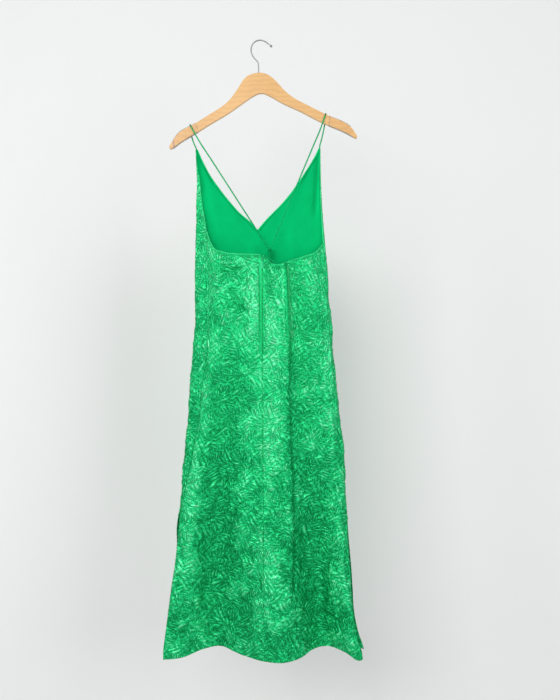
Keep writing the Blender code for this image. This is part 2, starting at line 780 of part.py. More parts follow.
def arm_section(x, grown):
    """The hanger's outline at x as eight corners, moved out by grown."""
    top = float(curve_through(ARM["x"], ARM["top"], x)) + grown
    low = float(curve_through(ARM["x"], ARM["low"], x)) - grown
    half = HANGER_THICKNESS / 2 + grown
    cut = min(HANGER_CHAMFER, (top - low) * 0.3)
    return [
        (x, half - cut, low), (x, half, low + cut), (x, half, top - cut), (x, half - cut, top),
        (x, cut - half, top), (x, -half, top - cut), (x, -half, low + cut), (x, cut - half, low),
    ]


def build_arms():
    stations = [row[0] for row in ARM_STATIONS]
    points = [corner for x in stations for corner in arm_section(x, 0.0)]
    faces = [tuple(range(8)), tuple(range(len(points) - 8, len(points)))]
    for s in range(len(stations) - 1):
        for k in range(8):
            n = (k + 1) % 8
            faces.append((8 * s + k, 8 * s + n, 8 * s + 8 + n, 8 * s + 8 + k))
    arms = add_object("hanger_arms", mesh_of("hanger_arms", points, faces, 30), "wood")
    x = HOOK_LINE[0][0]
    depth = HOOK_BORE["depth"] + 6
    data = bpy.data.meshes.new("hook_bore")
    shape = bmesh.new()
    top = float(curve_through(ARM["x"], ARM["top"], x))
    place = Matrix.Translation((x * MM, 0, (top + 6 - depth / 2) * MM))
    bmesh.ops.create_cone(
        shape, cap_ends=True, segments=12, radius1=HOOK_BORE["radius"] * MM,
        radius2=HOOK_BORE["radius"] * MM, depth=depth * MM, matrix=place,
    )
    shape.to_mesh(data)
    shape.free()
    cutter = add_object("hook_bore", data, "wood")
    cutter.hide_render = True
    cutter.display_type = "WIRE"
    bore = arms.modifiers.new("bore", "BOOLEAN")
    bore.operation = "DIFFERENCE"
    bore.object = cutter


def build_sleeves():
    """Clear sleeves pushed over the arm ends, open where the wooden tip comes out."""
    for side, (low, high) in SLEEVE_SPANS.items():
        stations = np.linspace(low, high, 9)
        rings = []
        for grown in (SLEEVE_CLEARANCE, SLEEVE_CLEARANCE + SLEEVE_WALL):
            rings += [corner for x in stations for corner in arm_section(float(x), grown)]
        faces, count = [], 8 * len(stations)
        for s in range(len(stations) - 1):
            for k in range(8):
                n = (k + 1) % 8
                a, b, c, d = 8 * s + k, 8 * s + n, 8 * s + 8 + n, 8 * s + 8 + k
                faces.append((a, b, c, d))
                faces.append((d + count, c + count, b + count, a + count))
        for s in (0, len(stations) - 1):
            for k in range(8):
                n = (k + 1) % 8
                faces.append((8 * s + k, 8 * s + n, 8 * s + n + count, 8 * s + k + count))
        name = "sleeve_" + side
        add_object(name, mesh_of(name, rings, faces, 30), "clear_plastic")


def build_hook():
    line = [(x, 0.0, z) for x, z in HOOK_LINE]
    wire = tube("hanger_hook", line, HOOK_RADIUS, "steel", sides=3, step=4.5)
    tip_x, tip_z = HOOK_LINE[-1]
    shape = bmesh.new()
    bmesh.ops.create_uvsphere(
        shape, u_segments=14, v_segments=9, radius=HOOK_TIP_RADIUS * MM,
        matrix=Matrix.Translation((tip_x * MM, 0, tip_z * MM)),
    )
    data = bpy.data.meshes.new("hook_tip")
    shape.to_mesh(data)
    shape.free()
    tip = add_object("hook_tip", data, "steel")
    tip.hide_render = True
    tip.display_type = "WIRE"
    bpy.context.view_layer.update()
    graph = bpy.context.evaluated_depsgraph_get()
    data = bpy.data.meshes.new_from_object(wire.evaluated_get(graph))
    shape = bmesh.new()
    shape.from_mesh(data)
    bmesh.ops.remove_doubles(shape, verts=shape.verts, dist=0.00001)
    bmesh.ops.recalc_face_normals(shape, faces=shape.faces)
    shape.to_mesh(data)
    shape.free()
    bpy.data.objects.remove(wire)
    hook = add_object("hanger_hook", data, "steel")
    joined = hook.modifiers.new("tip", "BOOLEAN")
    joined.operation = "UNION"
    joined.object = tip


for old in list(bpy.data.objects):
    bpy.data.objects.remove(old, do_unlink=True)

build_front()
build_back()
build_straps()
build_zip_pull()
build_arms()
build_sleeves()
build_hook()
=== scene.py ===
import math

import bmesh
import bpy
import numpy as np
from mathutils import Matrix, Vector


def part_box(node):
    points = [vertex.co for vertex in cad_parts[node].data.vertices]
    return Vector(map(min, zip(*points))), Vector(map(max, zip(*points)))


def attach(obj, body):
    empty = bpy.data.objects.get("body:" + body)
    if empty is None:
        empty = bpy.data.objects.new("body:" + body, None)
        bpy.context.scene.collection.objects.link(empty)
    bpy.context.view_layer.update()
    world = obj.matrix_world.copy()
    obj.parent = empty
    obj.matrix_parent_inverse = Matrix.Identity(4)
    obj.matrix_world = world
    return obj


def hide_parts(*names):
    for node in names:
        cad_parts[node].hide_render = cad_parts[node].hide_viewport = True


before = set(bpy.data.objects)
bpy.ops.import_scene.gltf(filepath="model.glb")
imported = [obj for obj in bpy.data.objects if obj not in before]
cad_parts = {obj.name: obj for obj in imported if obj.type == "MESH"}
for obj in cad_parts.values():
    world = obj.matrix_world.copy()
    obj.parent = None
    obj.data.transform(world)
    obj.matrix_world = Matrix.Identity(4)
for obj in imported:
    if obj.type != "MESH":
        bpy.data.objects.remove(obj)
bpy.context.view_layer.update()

# A slip dress in crushed satin on a wooden hanger. Its back faces -Y, its front +Y. Tables are in
# millimetres; meshes are in metres.
mm = 0.001
scene = bpy.context.scene
print("frame:", len(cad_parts), "solids")


# Camera, room and lights.

room = {
    "cameraPlace": (0.0464, -2.2, -0.7354),
    "lens": 47.54,
    "wallDepth": 0.60,
    "wallSize": (3.0, 4.2),
    "floorHeight": -2.35,
    "wallColour": (0.915, 0.915, 0.915),
    "floorColour": (0.80, 0.80, 0.79),
    "paintShade": 0.975,  # how dark the paint's darker clouds are
    "air": (0.98, 0.985, 1.0),
    "airStrength": 0.36,
}
lamps = {
    # place, aim, size across, size up, watts, colour
    "windowLight": ((-0.98, -3.1, 0.32), (0.0, 0.0, -0.80), 1.70, 1.35, 54.0, (1.0, 1.0, 1.0)),
    "sideLight": ((-2.20, -1.8, -0.40), (0.0, 0.0, -0.80), 0.9, 1.6, 11.0, (1.0, 1.0, 1.0)),
    "roomLight": ((1.75, -2.6, -0.20), (0.1, 0.0, -0.80), 1.3, 1.6, 31.0, (0.99, 0.995, 1.0)),
}


def deselectAll():
    if bpy.context.mode != "OBJECT":
        bpy.ops.object.mode_set(mode="OBJECT")
    bpy.ops.object.select_all(action="DESELECT")


def buildRoom():
    deselectAll()
    bpy.ops.object.camera_add(location=room["cameraPlace"], rotation=(math.pi / 2, 0, 0))
    camera = bpy.context.object
    camera.data.lens = room["lens"]
    camera.data.dof.use_dof = False
    scene.camera = camera
    scene.view_settings.view_transform = "Standard"
    world = bpy.data.worlds.new("studioAir")
    scene.world = world
    world.use_nodes = True
    air = world.node_tree.nodes["Background"]
    air.inputs["Color"].default_value = (*room["air"], 1)
    air.inputs["Strength"].default_value = room["airStrength"]
    for name, (place, aim, across, up, watts, colour) in lamps.items():
        bpy.ops.object.light_add(type="AREA", location=place)
        lamp = bpy.context.object
        lamp.name = name
        lamp.rotation_euler = (Vector(aim) - Vector(place)).to_track_quat("-Z", "Y").to_euler()
        lamp.data.shape = "RECTANGLE"
        lamp.data.size = across
        lamp.data.size_y = up
        lamp.data.energy = watts
        lamp.data.color = colour


# Materials.

class Shade:
    # one socket of a material's nodes; Python's own signs on it add the Math nodes
    def __init__(self, tree, socket, onCloth=False):
        self.tree = tree
        self.socket = socket
        self.onCloth = onCloth

    def node(self, kind, settings=None, values=None, output=0):
        made = self.tree.nodes.new(kind)
        for name, value in (settings or {}).items():
            if name == "stops":
                ramp = made.color_ramp
                while len(ramp.elements) < len(value):
                    ramp.elements.new(0.5)
                for element, (place, colour) in zip(ramp.elements, value):
                    element.position = place
                    element.color = (*colour, 1)
            else:
                setattr(made, name, value)
        for name, value in (values or {}).items():
            if isinstance(value, Shade):
                self.tree.links.new(value.socket, made.inputs[name])
            else:
                made.inputs[name].default_value = value
        return Shade(self.tree, made.outputs[output], self.onCloth)

    def maths(self, operation, first, second=0.0):
        return self.node("ShaderNodeMath", {"operation": operation}, {0: first, 1: second})

    def __add__(self, other):
        return self.maths("ADD", self, other)

    __radd__ = __add__

    def __sub__(self, other):
        return self.maths("SUBTRACT", self, other)

    def __rsub__(self, other):
        return self.maths("SUBTRACT", other, self)

    def __mul__(self, other):
        return self.maths("MULTIPLY", self, other)

    __rmul__ = __mul__

    def __truediv__(self, other):
        return self.maths("DIVIDE", self, other)

    def __pow__(self, other):
        return self.maths("POWER", self, other)

    def limited(self, low=0.0, high=1.0):
        return self.node("ShaderNodeClamp", None, {"Value": self, "Min": low, "Max": high})

    def noise(self, at, scale, detail=2.0, roughness=0.5, distortion=0.0, output=0):
        return self.node(
            "ShaderNodeTexNoise",
            {"noise_dimensions": "2D" if self.onCloth else "3D"},
            {"Vector": at, "Scale": scale, "Detail": detail, "Roughness": roughness,
             "Distortion": distortion},
            output,
        )

    def scaled(self, at, by):
        return self.node("ShaderNodeMapping", None, {"Vector": at, "Scale": by})

    def drawn(self, at, by, detail=2.0, roughness=0.5, distortion=0.0):
        # noise that is drawn out in some directions
        return self.noise(self.scaled(at, by), 1.0, detail, roughness, distortion)

    def wave(self, at, scale, distortion, detail=2.0, detailScale=1.0, turn=None, bands="X"):
        if turn:
            at = self.node("ShaderNodeMapping", None, {"Vector": at, "Rotation": (0, 0, turn)})
        return self.node("ShaderNodeTexWave", {"bands_direction": bands}, {
            "Vector": at, "Scale": scale, "Distortion": distortion, "Detail": detail,
            "Detail Scale": detailScale,
        }, 1)

    def cloth(self):
        # the place on the flat cloth
        return self.node("ShaderNodeUVMap", {"uv_map": "cloth"})

    def held(self, name):
        # a number that the mesh holds at its points
        return self.node("ShaderNodeAttribute", {"attribute_name": name}, None, 2)

    def vector(self, operation, *values, output=0):
        return self.node(
            "ShaderNodeVectorMath", {"operation": operation}, dict(enumerate(values)), output
        )

    def mixed(self, share, *colours):
        # two colours, or colour links, mixed by a number
        first, second = (c if isinstance(c, Shade) else (*c, 1) for c in colours)
        return self.node(
            "ShaderNodeMix", {"data_type": "RGBA"}, {"Factor": share, 6: first, 7: second}, 2
        )

    def bump(self, height, strength, distance):
        return self.node(
            "ShaderNodeBump", None,
            {"Strength": strength, "Distance": distance, "Filter Width": 0.2, "Height": height},
        )


def newMaterial(name, sockets, onCloth=False):
    material = bpy.data.materials.new(name)
    material.use_nodes = True
    tree = material.node_tree
    shader = tree.nodes["Principled BSDF"]
    for socket, value in sockets.items():
        shader.inputs[socket].default_value = value
    place = Shade(tree, tree.nodes.new("ShaderNodeTexCoord").outputs["Object"], onCloth)

    def feed(links):
        for socket, value in links.items():
            tree.links.new(value.socket, shader.inputs[socket])

    return material, place, feed


def twoTone(place, feed, look, tone, rough, height):
    # two colours mixed by the tone, a roughness about its level, and a fine relief
    feed({
        "Base Color": place.mixed(tone, *look["colours"]),
        "Roughness": look["roughness"] + rough,
        "Normal": place.bump(height, *look["bump"]),
    })


satinLook = {
    # from the hollows to the ridges: how light, and the colour, from painted shade in the hollows
    # to a pale painted highlight on the ridges
    "stops": (
        (0.0, (0.0002, 0.215, 0.054)), (0.42, (0.0100, 0.545, 0.174)),
        (0.70, (0.0850, 0.740, 0.315)), (1.0, (0.2400, 0.870, 0.470)),
    ),
    # the next four are for the right side and for the wrong side
    "metallic": (0.46, 0.08),
    "specular": (0.10, 0.05),
    "roughness": (0.36, 0.58),
    "bump": (1.0, 0.7),
    # the finest creases: direction, and how many in a metre, along and across
    "creases": ((0.25, 40, 165), (1.05, 24, 108), (1.85, 54, 215), (2.60, 30, 135)),
    "creaseDepth": 0.0030,
    "creaseLevel": 2.1,
    "drift": (34.0, 0.006),  # bends in a metre, and how far they reach
    "patches": (26.0, 0.46, 10.0, 0.12),  # in a metre, middle, sharpness, least share
    "calm": (0.85, 0.22),  # what sewn places lose of the creases, and have instead
    "fine": 520.0,
    "threads": (260.0, 3400.0, 1.0),
    "clouds": 11.0,
    "high": (1.10, 1.5),  # how far down the painted light of the upper part reaches, and how fast it grows
    # how much lighter each thing paints the cloth: relief, creases and height paint light and
    # shade, fine and clouds vary it at random
    "light": {"relief": 0.32, "creases": 0.96, "fine": 0.20, "clouds": 0.08, "high": 0.24},
    "highCreases": 0.22,  # how much less the creases do high up
    "darker": 0.15,
}


def fineCreases(place, flat):
    # the finest of the crushing: bent streaks in patches of differing direction
    bends, reach = satinLook["drift"]
    patchScale, middle, sharpness, least = satinLook["patches"]
    drift = place.noise(flat, bends, 1.0, output=1)
    bent = place.vector("MULTIPLY_ADD", drift, (reach, reach, 0.0), flat)
    total, weight = 0.0, 0.0
    for k, (turn, along, across) in enumerate(satinLook["creases"]):
        turned = place.node(
            "ShaderNodeVectorRotate", {"rotation_type": "Z_AXIS"}, {"Vector": bent, "Angle": turn}
        )
        streaks = place.node(
            "ShaderNodeTexVoronoi",
            {"voronoi_dimensions": "2D", "feature": "DISTANCE_TO_EDGE"},
            {"Vector": place.scaled(turned, (along, across, 1.0)), "Scale": 1.0},
        )
        shifted = place.vector("ADD", flat, (1.7 * k + 0.3, 2.9 * k, 0.0))
        patch = (place.noise(shifted, patchScale, 1.0) - middle) * sharpness
        patch = patch.limited(least, 1.0)
        total = streaks * patch + total
        weight = patch + weight
    return total / weight * satinLook["creaseLevel"]


def satinMaterial(name, wrong=0):
    # crushed satin: ridges catch the light and hollows stay deep, both also painted into its
    # colour as painted highlight and painted shade; threads show only close to
    look, share = satinLook, satinLook["light"]
    material, place, feed = newMaterial(name, {
        "Metallic": look["metallic"][wrong],
        "Specular IOR Level": look["specular"][wrong],
    }, True)
    flat, relief, calm = place.cloth(), place.held("relief"), place.held("calm")
    lost, instead = look["calm"]
    creases = fineCreases(place, flat) * (1.0 - calm * lost) + calm * instead
    fine = place.noise(flat, look["fine"], 2.0, 0.5, 0.6)
    threads = place.drawn(flat, look["threads"], 1.0)
    clouds = place.noise(flat, look["clouds"])
    # the crushing is deepest towards the hem, and higher up the cloth is painted paler, a painted
    # light from above
    reach, growth = look["high"]
    height = place.node("ShaderNodeSeparateXYZ", None, {"Vector": flat}, 1)
    high = ((height + reach) * growth).limited()
    # painted shade in the hollows of the relief and the creases, painted light on their ridges and
    # higher up
    light = relief * share["relief"] + creases * (share["creases"] - high * look["highCreases"])
    light = light + (fine - 0.5) * share["fine"] + (clouds - 0.5) * share["clouds"]
    light = light + high * share["high"] - look["darker"]
    feed({
        "Base Color": place.node(
            "ShaderNodeValToRGB", {"stops": look["stops"]}, {"Fac": light.limited()}
        ),
        "Roughness": look["roughness"][wrong] + (fine - 0.5) * 0.16 - relief * 0.04,
        "Normal": place.bump(
            creases + fine * 0.06 + threads * 0.012, look["bump"][wrong], look["creaseDepth"]
        ),
    })
    return material


liningLook = {
    "colours": ((0.0003, 0.290, 0.078), (0.0008, 0.620, 0.195)),
    "roughness": 0.80,
    "bump": (0.25, 0.0003),
}


def liningMaterial(name):
    # plain matt lining with the least sign of its weave
    material, place, feed = newMaterial(name, {"Specular IOR Level": 0.03}, True)
    flat = place.cloth()
    cloud = place.noise(flat, 22.0, 3.0, 0.55)
    warp = place.drawn(flat, (900.0, 60.0, 1.0))
    weft = place.drawn(flat, (60.0, 900.0, 1.0))
    # the held shade value brings in the painted shade and light of the folds and the V's edge
    tone = (cloud - 0.5) * 0.3 + (warp - 0.5) * 0.25 + place.held("relief") * 1.2 - 0.05
    twoTone(place, feed, liningLook, tone.limited(), (weft - 0.5) * 0.2, warp * 0.5 + weft * 0.5)
    return material


cordLook = {
    "colours": ((0.0006, 0.165, 0.047), (0.008, 0.520, 0.180)),
    "roughness": 0.31,
    "bump": (0.4, 0.0004),
}


def cordMaterial(name):
    # satin cut on the bias and turned into a cord: a slanting weave and small tucks along it
    material, place, feed = newMaterial(
        name, {"Metallic": 0.65, "Specular IOR Level": 0.0}, True
    )
    flat = place.cloth()
    tucks = place.drawn(flat, (160.0, 420.0, 1.0), 2.0, 0.5, 0.8)
    slant = place.wave(flat, 620.0, 1.5, 1.0, turn=0.78)
    tone = (tucks * 0.9 + slant * 0.15).limited()
    twoTone(place, feed, cordLook, tone, (tucks - 0.5) * 0.2, tucks * 0.7 + slant * 0.3)
    return material


tapeLook = {
    "colours": ((0.003, 0.300, 0.080), (0.008, 0.430, 0.130)),
    "roughness": 0.68,
    "bump": (0.4, 0.0002),
}


def tapeMaterial(name):
    material, place, feed = newMaterial(name, {"Specular IOR Level": 0.3}, True)
    ribs = place.wave(place.cloth(), 560.0, 0.6, turn=0.6)
    twoTone(place, feed, tapeLook, ribs, ribs * 0.1, ribs)
    return material


threadLook = {
    "colours": ((0.004, 0.340, 0.100), (0.020, 0.500, 0.180)),
    "roughness": 0.55,
    "bump": (0.4, 0.0001),
}


def threadMaterial(name):
    material, place, feed = newMaterial(name, {"Specular IOR Level": 0.4})
    ply = place.noise(place, 2600.0, 1.0)
    twoTone(place, feed, threadLook, ply, (ply - 0.5) * 0.2, ply)
    return material


enamelLook = {
    "colours": ((0.004, 0.500, 0.170), (0.020, 0.680, 0.260)),
    "roughness": 0.46,
    "bump": (0.15, 0.0001),
}


def enamelMaterial(name):
    # lacquered metal with the paint rubbed thin in places
    material, place, feed = newMaterial(name, {"Specular IOR Level": 0.30})
    cloud = place.noise(place, 900.0, 3.0)
    grain = place.noise(place, 2600.0, 1.0)
    twoTone(place, feed, enamelLook, cloud, (cloud - 0.5) * 0.2, grain)
    return material


woodLook = {
    "dark": (0.600, 0.314, 0.096),
    "light": (0.830, 0.512, 0.206),
    "fleck": (0.42, 0.20, 0.07),
    "roughness": 0.42,
    "bump": (0.18, 0.0002),
}


def woodMaterial(name):
    # lacquered beech: long grain that runs out from the middle, short darker flecks, faint rings
    material, place, feed = newMaterial(name, {
        "Specular IOR Level": 0.45, "Coat Weight": 0.18, "Coat Roughness": 0.3,
    })
    wander = place.drawn(place, (9.0, 30.0, 9.0))
    grain = place.drawn(place, (26.0, 240.0, 520.0), 4.0, 0.6, 0.8)
    flecks = place.drawn(place, (190.0, 900.0, 1500.0), 1.0)
    rings = place.wave(place, 26.0, 7.0, 3.0, 0.8, bands="Z")
    fleck = ((flecks - 0.60) * 5.0).limited()
    tone = (grain * 0.55 + rings * 0.22 + (wander - 0.5) * 0.7 + 0.12).limited()
    plain = place.mixed(tone, woodLook["dark"], woodLook["light"])
    feed({
        "Base Color": place.mixed(fleck * 0.35, plain, woodLook["fleck"]),
        "Roughness": woodLook["roughness"] + (grain - 0.5) * 0.18,
        "Normal": place.bump(grain * 0.6 + flecks * 0.4, *woodLook["bump"]),
    })
    return material


steelLook = {
    "colours": ((0.20, 0.20, 0.20), (0.38, 0.38, 0.38)),
    "roughness": 0.22,
    "bump": (0.1, 0.0001),
}


def steelMaterial(name):
    material, place, feed = newMaterial(name, {"Metallic": 1.0})
    lines = place.drawn(place, (900.0, 900.0, 120.0), 3.0)
    spots = place.noise(place, 160.0, 3.0)
    twoTone(place, feed, steelLook, spots, lines * 0.16, lines)
    return material


clearLook = {
    "colour": (0.36, 0.30, 0.32, 1),
    "roughness": 0.16,
    # each end's plane (across, up, distance), where the cut edge shows darker
    "ends": (
        (0.883, 0.469, -0.2292), (-0.9945, 0.1045, -0.1821),
        (0.964, 0.264, -0.2637), (-0.939, 0.345, -0.2865),
    ),
    "endWidth": 0.0018,
}


def clearMaterial(name):
    # clear soft plastic, seen mostly at its edges
    material, place, feed = newMaterial(name, {
        "Base Color": clearLook["colour"], "IOR": 1.45, "Specular IOR Level": 0.6,
    })
    edge = place.node("ShaderNodeLayerWeight", None, {"Blend": 0.35}, 1)
    scuffs = place.noise(place, 240.0, 3.0)
    ends = 0.0
    for across, up, distance in clearLook["ends"]:
        along = place.vector("DOT_PRODUCT", place, (across, 0.0, up), output=1)
        gap = place.maths("ABSOLUTE", along - distance)
        ends = (1.0 - gap / clearLook["endWidth"]).limited() + ends
    feed({
        "Alpha": (edge ** 1.6 * 0.8 + ends * 0.5 + (scuffs - 0.5) * 0.05).limited(),
        "Roughness": clearLook["roughness"] + scuffs * 0.14,
    })
    return material


def stageMaterial(name, colour, oneWay=False):
    material, place, feed = newMaterial(name, {"Roughness": 0.9, "Specular IOR Level": 0.1})
    cloud = place.noise(place, 1.3, 2.0)
    paint = place.noise(place, 90.0, 3.0)
    low = tuple(v * room["paintShade"] for v in colour)
    feed({
        "Base Color": place.mixed(cloud, low, colour),
        "Normal": place.bump(paint, 0.1, 0.001),
    })
    if oneWay:
        # from behind, the wall lets the dress be seen
        tree = material.node_tree
        behind = place.node("ShaderNodeNewGeometry", None, None, 6)
        clear = place.node("ShaderNodeBsdfTransparent")
        painted = Shade(tree, tree.nodes["Principled BSDF"].outputs[0])
        both = place.node("ShaderNodeMixShader", None, {0: behind, 1: painted, 2: clear})
        tree.links.new(both.socket, tree.nodes["Material Output"].inputs["Surface"])
    return material


finishes = {
    "satin": satinMaterial("crushedSatin"),
    "wrongSide": satinMaterial("satinWrongSide", 1),
    "lining": liningMaterial("matLining"),
    "cord": cordMaterial("satinCord"),
    "tape": tapeMaterial("zipTapeTwill"),
    "thread": threadMaterial("sewingThread"),
    "enamel": enamelMaterial("greenEnamel"),
    "wood": woodMaterial("lacqueredBeech"),
    "steel": steelMaterial("platedSteel"),
    "clear": clearMaterial("clearSleeve"),
}


def buildStage():
    deselectAll()
    across, up = room["wallSize"]
    middle = (room["cameraPlace"][0], room["wallDepth"], room["floorHeight"] + up / 2)
    bpy.ops.mesh.primitive_plane_add(size=1, location=middle, rotation=(math.pi / 2, 0, 0))
    wall = bpy.context.object
    wall.name = "wall"
    wall.scale = (across, up, 1)
    wall.data.materials.append(stageMaterial("wallPaint", room["wallColour"], True))
    bpy.ops.mesh.primitive_plane_add(size=9, location=(0, 0, room["floorHeight"]))
    floor = bpy.context.object
    floor.name = "floor"
    floor.data.materials.append(stageMaterial("floorPaint", room["floorColour"]))


buildRoom()
buildStage()
print("room, camera and lights set")


# The dress's own form.

form = {
    "columns": ("height", "left", "right", "side", "near", "far", "leftWrap", "rightWrap"),
    "sections": (
        (-1480, -231.5, 249, 0, 26, 38, 0.6, 7),
        (-1445, -231, 246, 0, 26, 38, 0.6, 7),
        (-1416, -227.3, 236, 0, 27, 38, 0.6, 6.5),
        (-1359, -220, 224, 0, 28, 37, 0.6, 5),
        (-1302, -213, 220, 0, 29, 37, 0.8, 4.8),
        (-1245, -204.5, 216, 0, 30, 36, 1, 4.5),
        (-1195, -199.5, 211, 0, 30, 36, 2, 2.6),
        (-1165, -200, 208.5, 0, 30, 36, 5.5, 1.8),
        (-1130, -196.5, 206.5, 0, 30, 35, 5, 1.8),
        (-1073, -189, 203.5, 0, 30, 35, 9, 2.6),
        (-1016, -184.5, 201, 0, 30, 34, 18, 3.2),
        (-959, -179.7, 198, 0, 30, 34, 23, 4),
        (-902, -173, 191.6, 0, 29, 33, 28, 4.5),
        (-845, -170.2, 184.5, 0, 29, 32, 30, 5),
        (-788, -165.4, 178, 0, 28, 31, 31, 5.5),
        (-731, -160.7, 173, 0, 27, 30, 31, 6),
        (-673, -156.5, 169.5, 0, 26, 28, 33, 6),
        (-616, -156, 164, 0, 24, 26, 34, 6),
        (-559, -156, 160.5, -0.5, 21, 23, 32, 5.5),
        (-502, -155.5, 155.8, -0.5, 18, 20, 28, 5),
        (-450, -153.5, 151.6, 0, 16, 16, 24.5, 4),
        (-388, -153, 146.4, 3, 11, 12, 14, 2.6),
        (-331, -151.5, 144, 6, 7, 8, 5.5, 1.6),
        (-293, -153.5, 143.3, 8, 5, 5, 2.6, 0.9),
        (-254, -155.4, 142.9, 9.4, 3, 2, 0, 0),
    ),
    "roundness": 0.75,
    "flareStart": -900.0,
    "flareEnd": -1440.0,
    "underarm": {"left": -454.0, "right": -482.5},
    "slitTop": {"left": -1116.0, "right": -1149.0},
    "slitClosing": 30.0,  # how far below its top a slit is wholly open
    "slitSpread": {"left": 8.0, "right": 20.0},
    "slitReach": 0.10,
    "point": {"left": -257.0, "right": -254.0},
    "vBottom": (-7.5, -448.5),
    "liningEnd": -600.0,
    "zipEnd": -747.0,
    "zipTop": -512.0,
    "zipFade": 6.0,
    "seamShare": 0.15,  # what is left of the zip's gap below it
    "centreTop": 2.6,
    "centreLow": 9.0,
    "mouthHalf": 2.2,
    "mouthHeight": 21.0,
    "seamGap": 0.06,
}
vEdge = {
    "columns": ("height", "left", "right"),
    "rows": (
        (-448.5, -7.5, -7.5), (-426, -28.5, 11.5), (-407, -51, 30), (-388, -68, 49),
        (-369, -84, 65.5), (-350, -98.5, 80), (-331, -112.5, 93.5), (-312, -124.5, 106),
        (-293, -134.5, 118.5), (-274, -143.5, 129.5), (-254, -151.6, 139.2),
    ),
}
backNeck = {
    "columns": ("across", "height"),
    "rows": (
        (-128, -454), (-122, -472), (-114, -489), (-90, -503.5), (-48, -508.5),
        (2.6, -512), (14, -515.5), (24, -529), (40, -534.5), (70, -525),
        (105, -513.5), (136, -499), (149.5, -482.5),
    ),
}
backHem = {
    "columns": ("part", "depth", "height"),
    "rows": (
        (0.00, 0, -1470), (0.10, -6, -1464), (0.20, 7, -1449), (0.28, 10, -1443),
        (0.38, -14, -1454), (0.50, -44, -1462), (0.60, -50, -1463), (0.68, -38, -1456),
        (0.75, -10, -1444), (0.82, 7, -1442), (0.90, -10, -1449), (0.97, -14, -1464),
        (1.00, -6, -1459),
    ),
}
frontHem = {
    "columns": ("part", "depth", "height"),
    "rows": (
        (0.00, 0, -1450), (0.16, 38, -1446), (0.32, 26, -1449), (0.50, 40, -1446),
        (0.66, 27, -1449), (0.84, 40, -1446), (1.00, -6, -1451),
    ),
}
# The folds that the whole form follows: x and z at the upper end, x and z at the lower one, how
# far the line bows sideways, a width to its left and to its right, and how far the fold stands
# out, less than nothing for a trough.
backFolds = (
    (53, -516, 80, -1400, 7, 24, 5, 10),
    (70, -540, 98, -1400, 7, 9, 20, -4),
    (-16, -560, -12, -720, -4, 14, 12, 4),
    (-93, -538, -42, -554, -2, 5, 7, -3.5),
    (-75, -600, -38, -655, 2, 6, 7, -3),
    (-122, -480, -112, -900, -6, 5, 12, 3),
    (118, -520, 140, -760, 6, 14, 10, 3),
)
frontFolds = (
    (-96, -470, -110, -1250, -8, 18, 12, 4),
    (-20, -520, -30, -1300, 6, 16, 20, 5),
    (84, -480, 108, -1280, 8, 14, 18, 4.5),
    (128, -262, 136, -440, 3, 6, 5, -3),
)
# Smaller creases pressed into the cloth, told in the same way.
backCreases = (
    # fan out of the middle of the neckline, left of the zip
    (-8, -524, -60, -562, -4, 3, 4, 1.5),
    (-10, -534, -50, -596, -5, 3.5, 4.5, 1.6),
    (-11, -548, -36, -640, -5, 4, 5, 1.4),
    (-9, -572, -26, -700, -4, 4, 5, 1.2),
    (-14, -519, -78, -530, -3, 2.5, 3.5, 1.1),
    (0, -536, -8, -730, 0, 30, 4, 4.2),
    (-92, -545, -40, -541, -2, 3.2, 5, -3),
    (-100, -529, -34, -528, -2, 3, 4, 1.8),
    (-116, -556, -60, -561, -3, 4, 7, -1.8),
    (-75, -592, -36, -655, 3, 3.5, 4.5, -2.2),
    # out of the left corner of the neckline
    (-121, -478, -94, -532, 3, 3, 4, 1.3),
    (-123, -494, -106, -574, 3, 3, 4, 1.4),
    (-124, -512, -120, -622, 2, 3, 4, 1.1),
    (-112, -582, -68, -618, 3, 3, 4, -1.3),
    (-85, -688, -48, -736, 3, 4, 4, -1.2),
    (-98, -556, -40, -580, 4, 4, 5, 1.5),
    # long soft ones down the left half
    (-112, -688, -128, -1020, -3, 7, 9, 1.8),
    (-100, -854, -112, -1150, 3, 9, 8, 1.6),
    (-66, -760, -126, -1455, 0, 34, 24, -9.5),
    (-150, -820, -214, -1455, 0, 16, 26, 4.5),
    (24, -600, 18, -1455, 0, 32, 30, 4),
    (-26, -902, -54, -1235, 4, 10, 9, 1.8),
    (-150, -960, -176, -1300, 2, 10, 9, 1.8),
    # the pleat's stitched top, and drag lines to the right of it
    (9, -541, 54, -540, -1, 1.4, 1.8, -1.9),
    (10, -536.5, 52, -536, -1, 1.6, 1.6, 1.1),
    (8, -535.5, 33, -525.5, 0, 2.4, 3.4, -3.6),
    (12, -556, 50, -549, 2, 2, 2.5, 0.9),
    (54.5, -490, 64.5, -760, 2, 3.2, 12, 5.6),
    (66, -531, 92, -584, 3, 3.5, 4, 1.4),
    (94, -520, 136, -560, 3, 3.5, 4, 1.4),
    (84, -690, 160, -664, -6, 3.5, 4, 1.5),
    (88, -722, 168, -698, -6, 3.5, 4.5, 1.6),
    (92, -752, 168, -742, -5, 3.5, 4, -1.2),
    (118, -618, 152, -592, -3, 3, 4, 1.2),
    (176, -600, 188, -850, 0, 30, 8, 4),
    (138, -655, 186, -668, 3, 3, 4, -2),
    (130, -676, 160, -685, 2, 3, 4, -1.8),
    # long soft ones down the right half
    (150, -711, 182, -1000, -4, 11, 12, 2.4),
    (122, -902, 132, -1150, 3, 12, 12, 1.6),
    (184, -1200, 216, -1440, 4, 9, 9, 2.2),
    (88, -560, 112, -1440, 3, 14, 22, -2.6),
    (70, -800, 85, -1455, 5, 12, 5, -4.5),
    (124, -1130, 152, -1455, 0, 28, 16, -5.5),
)
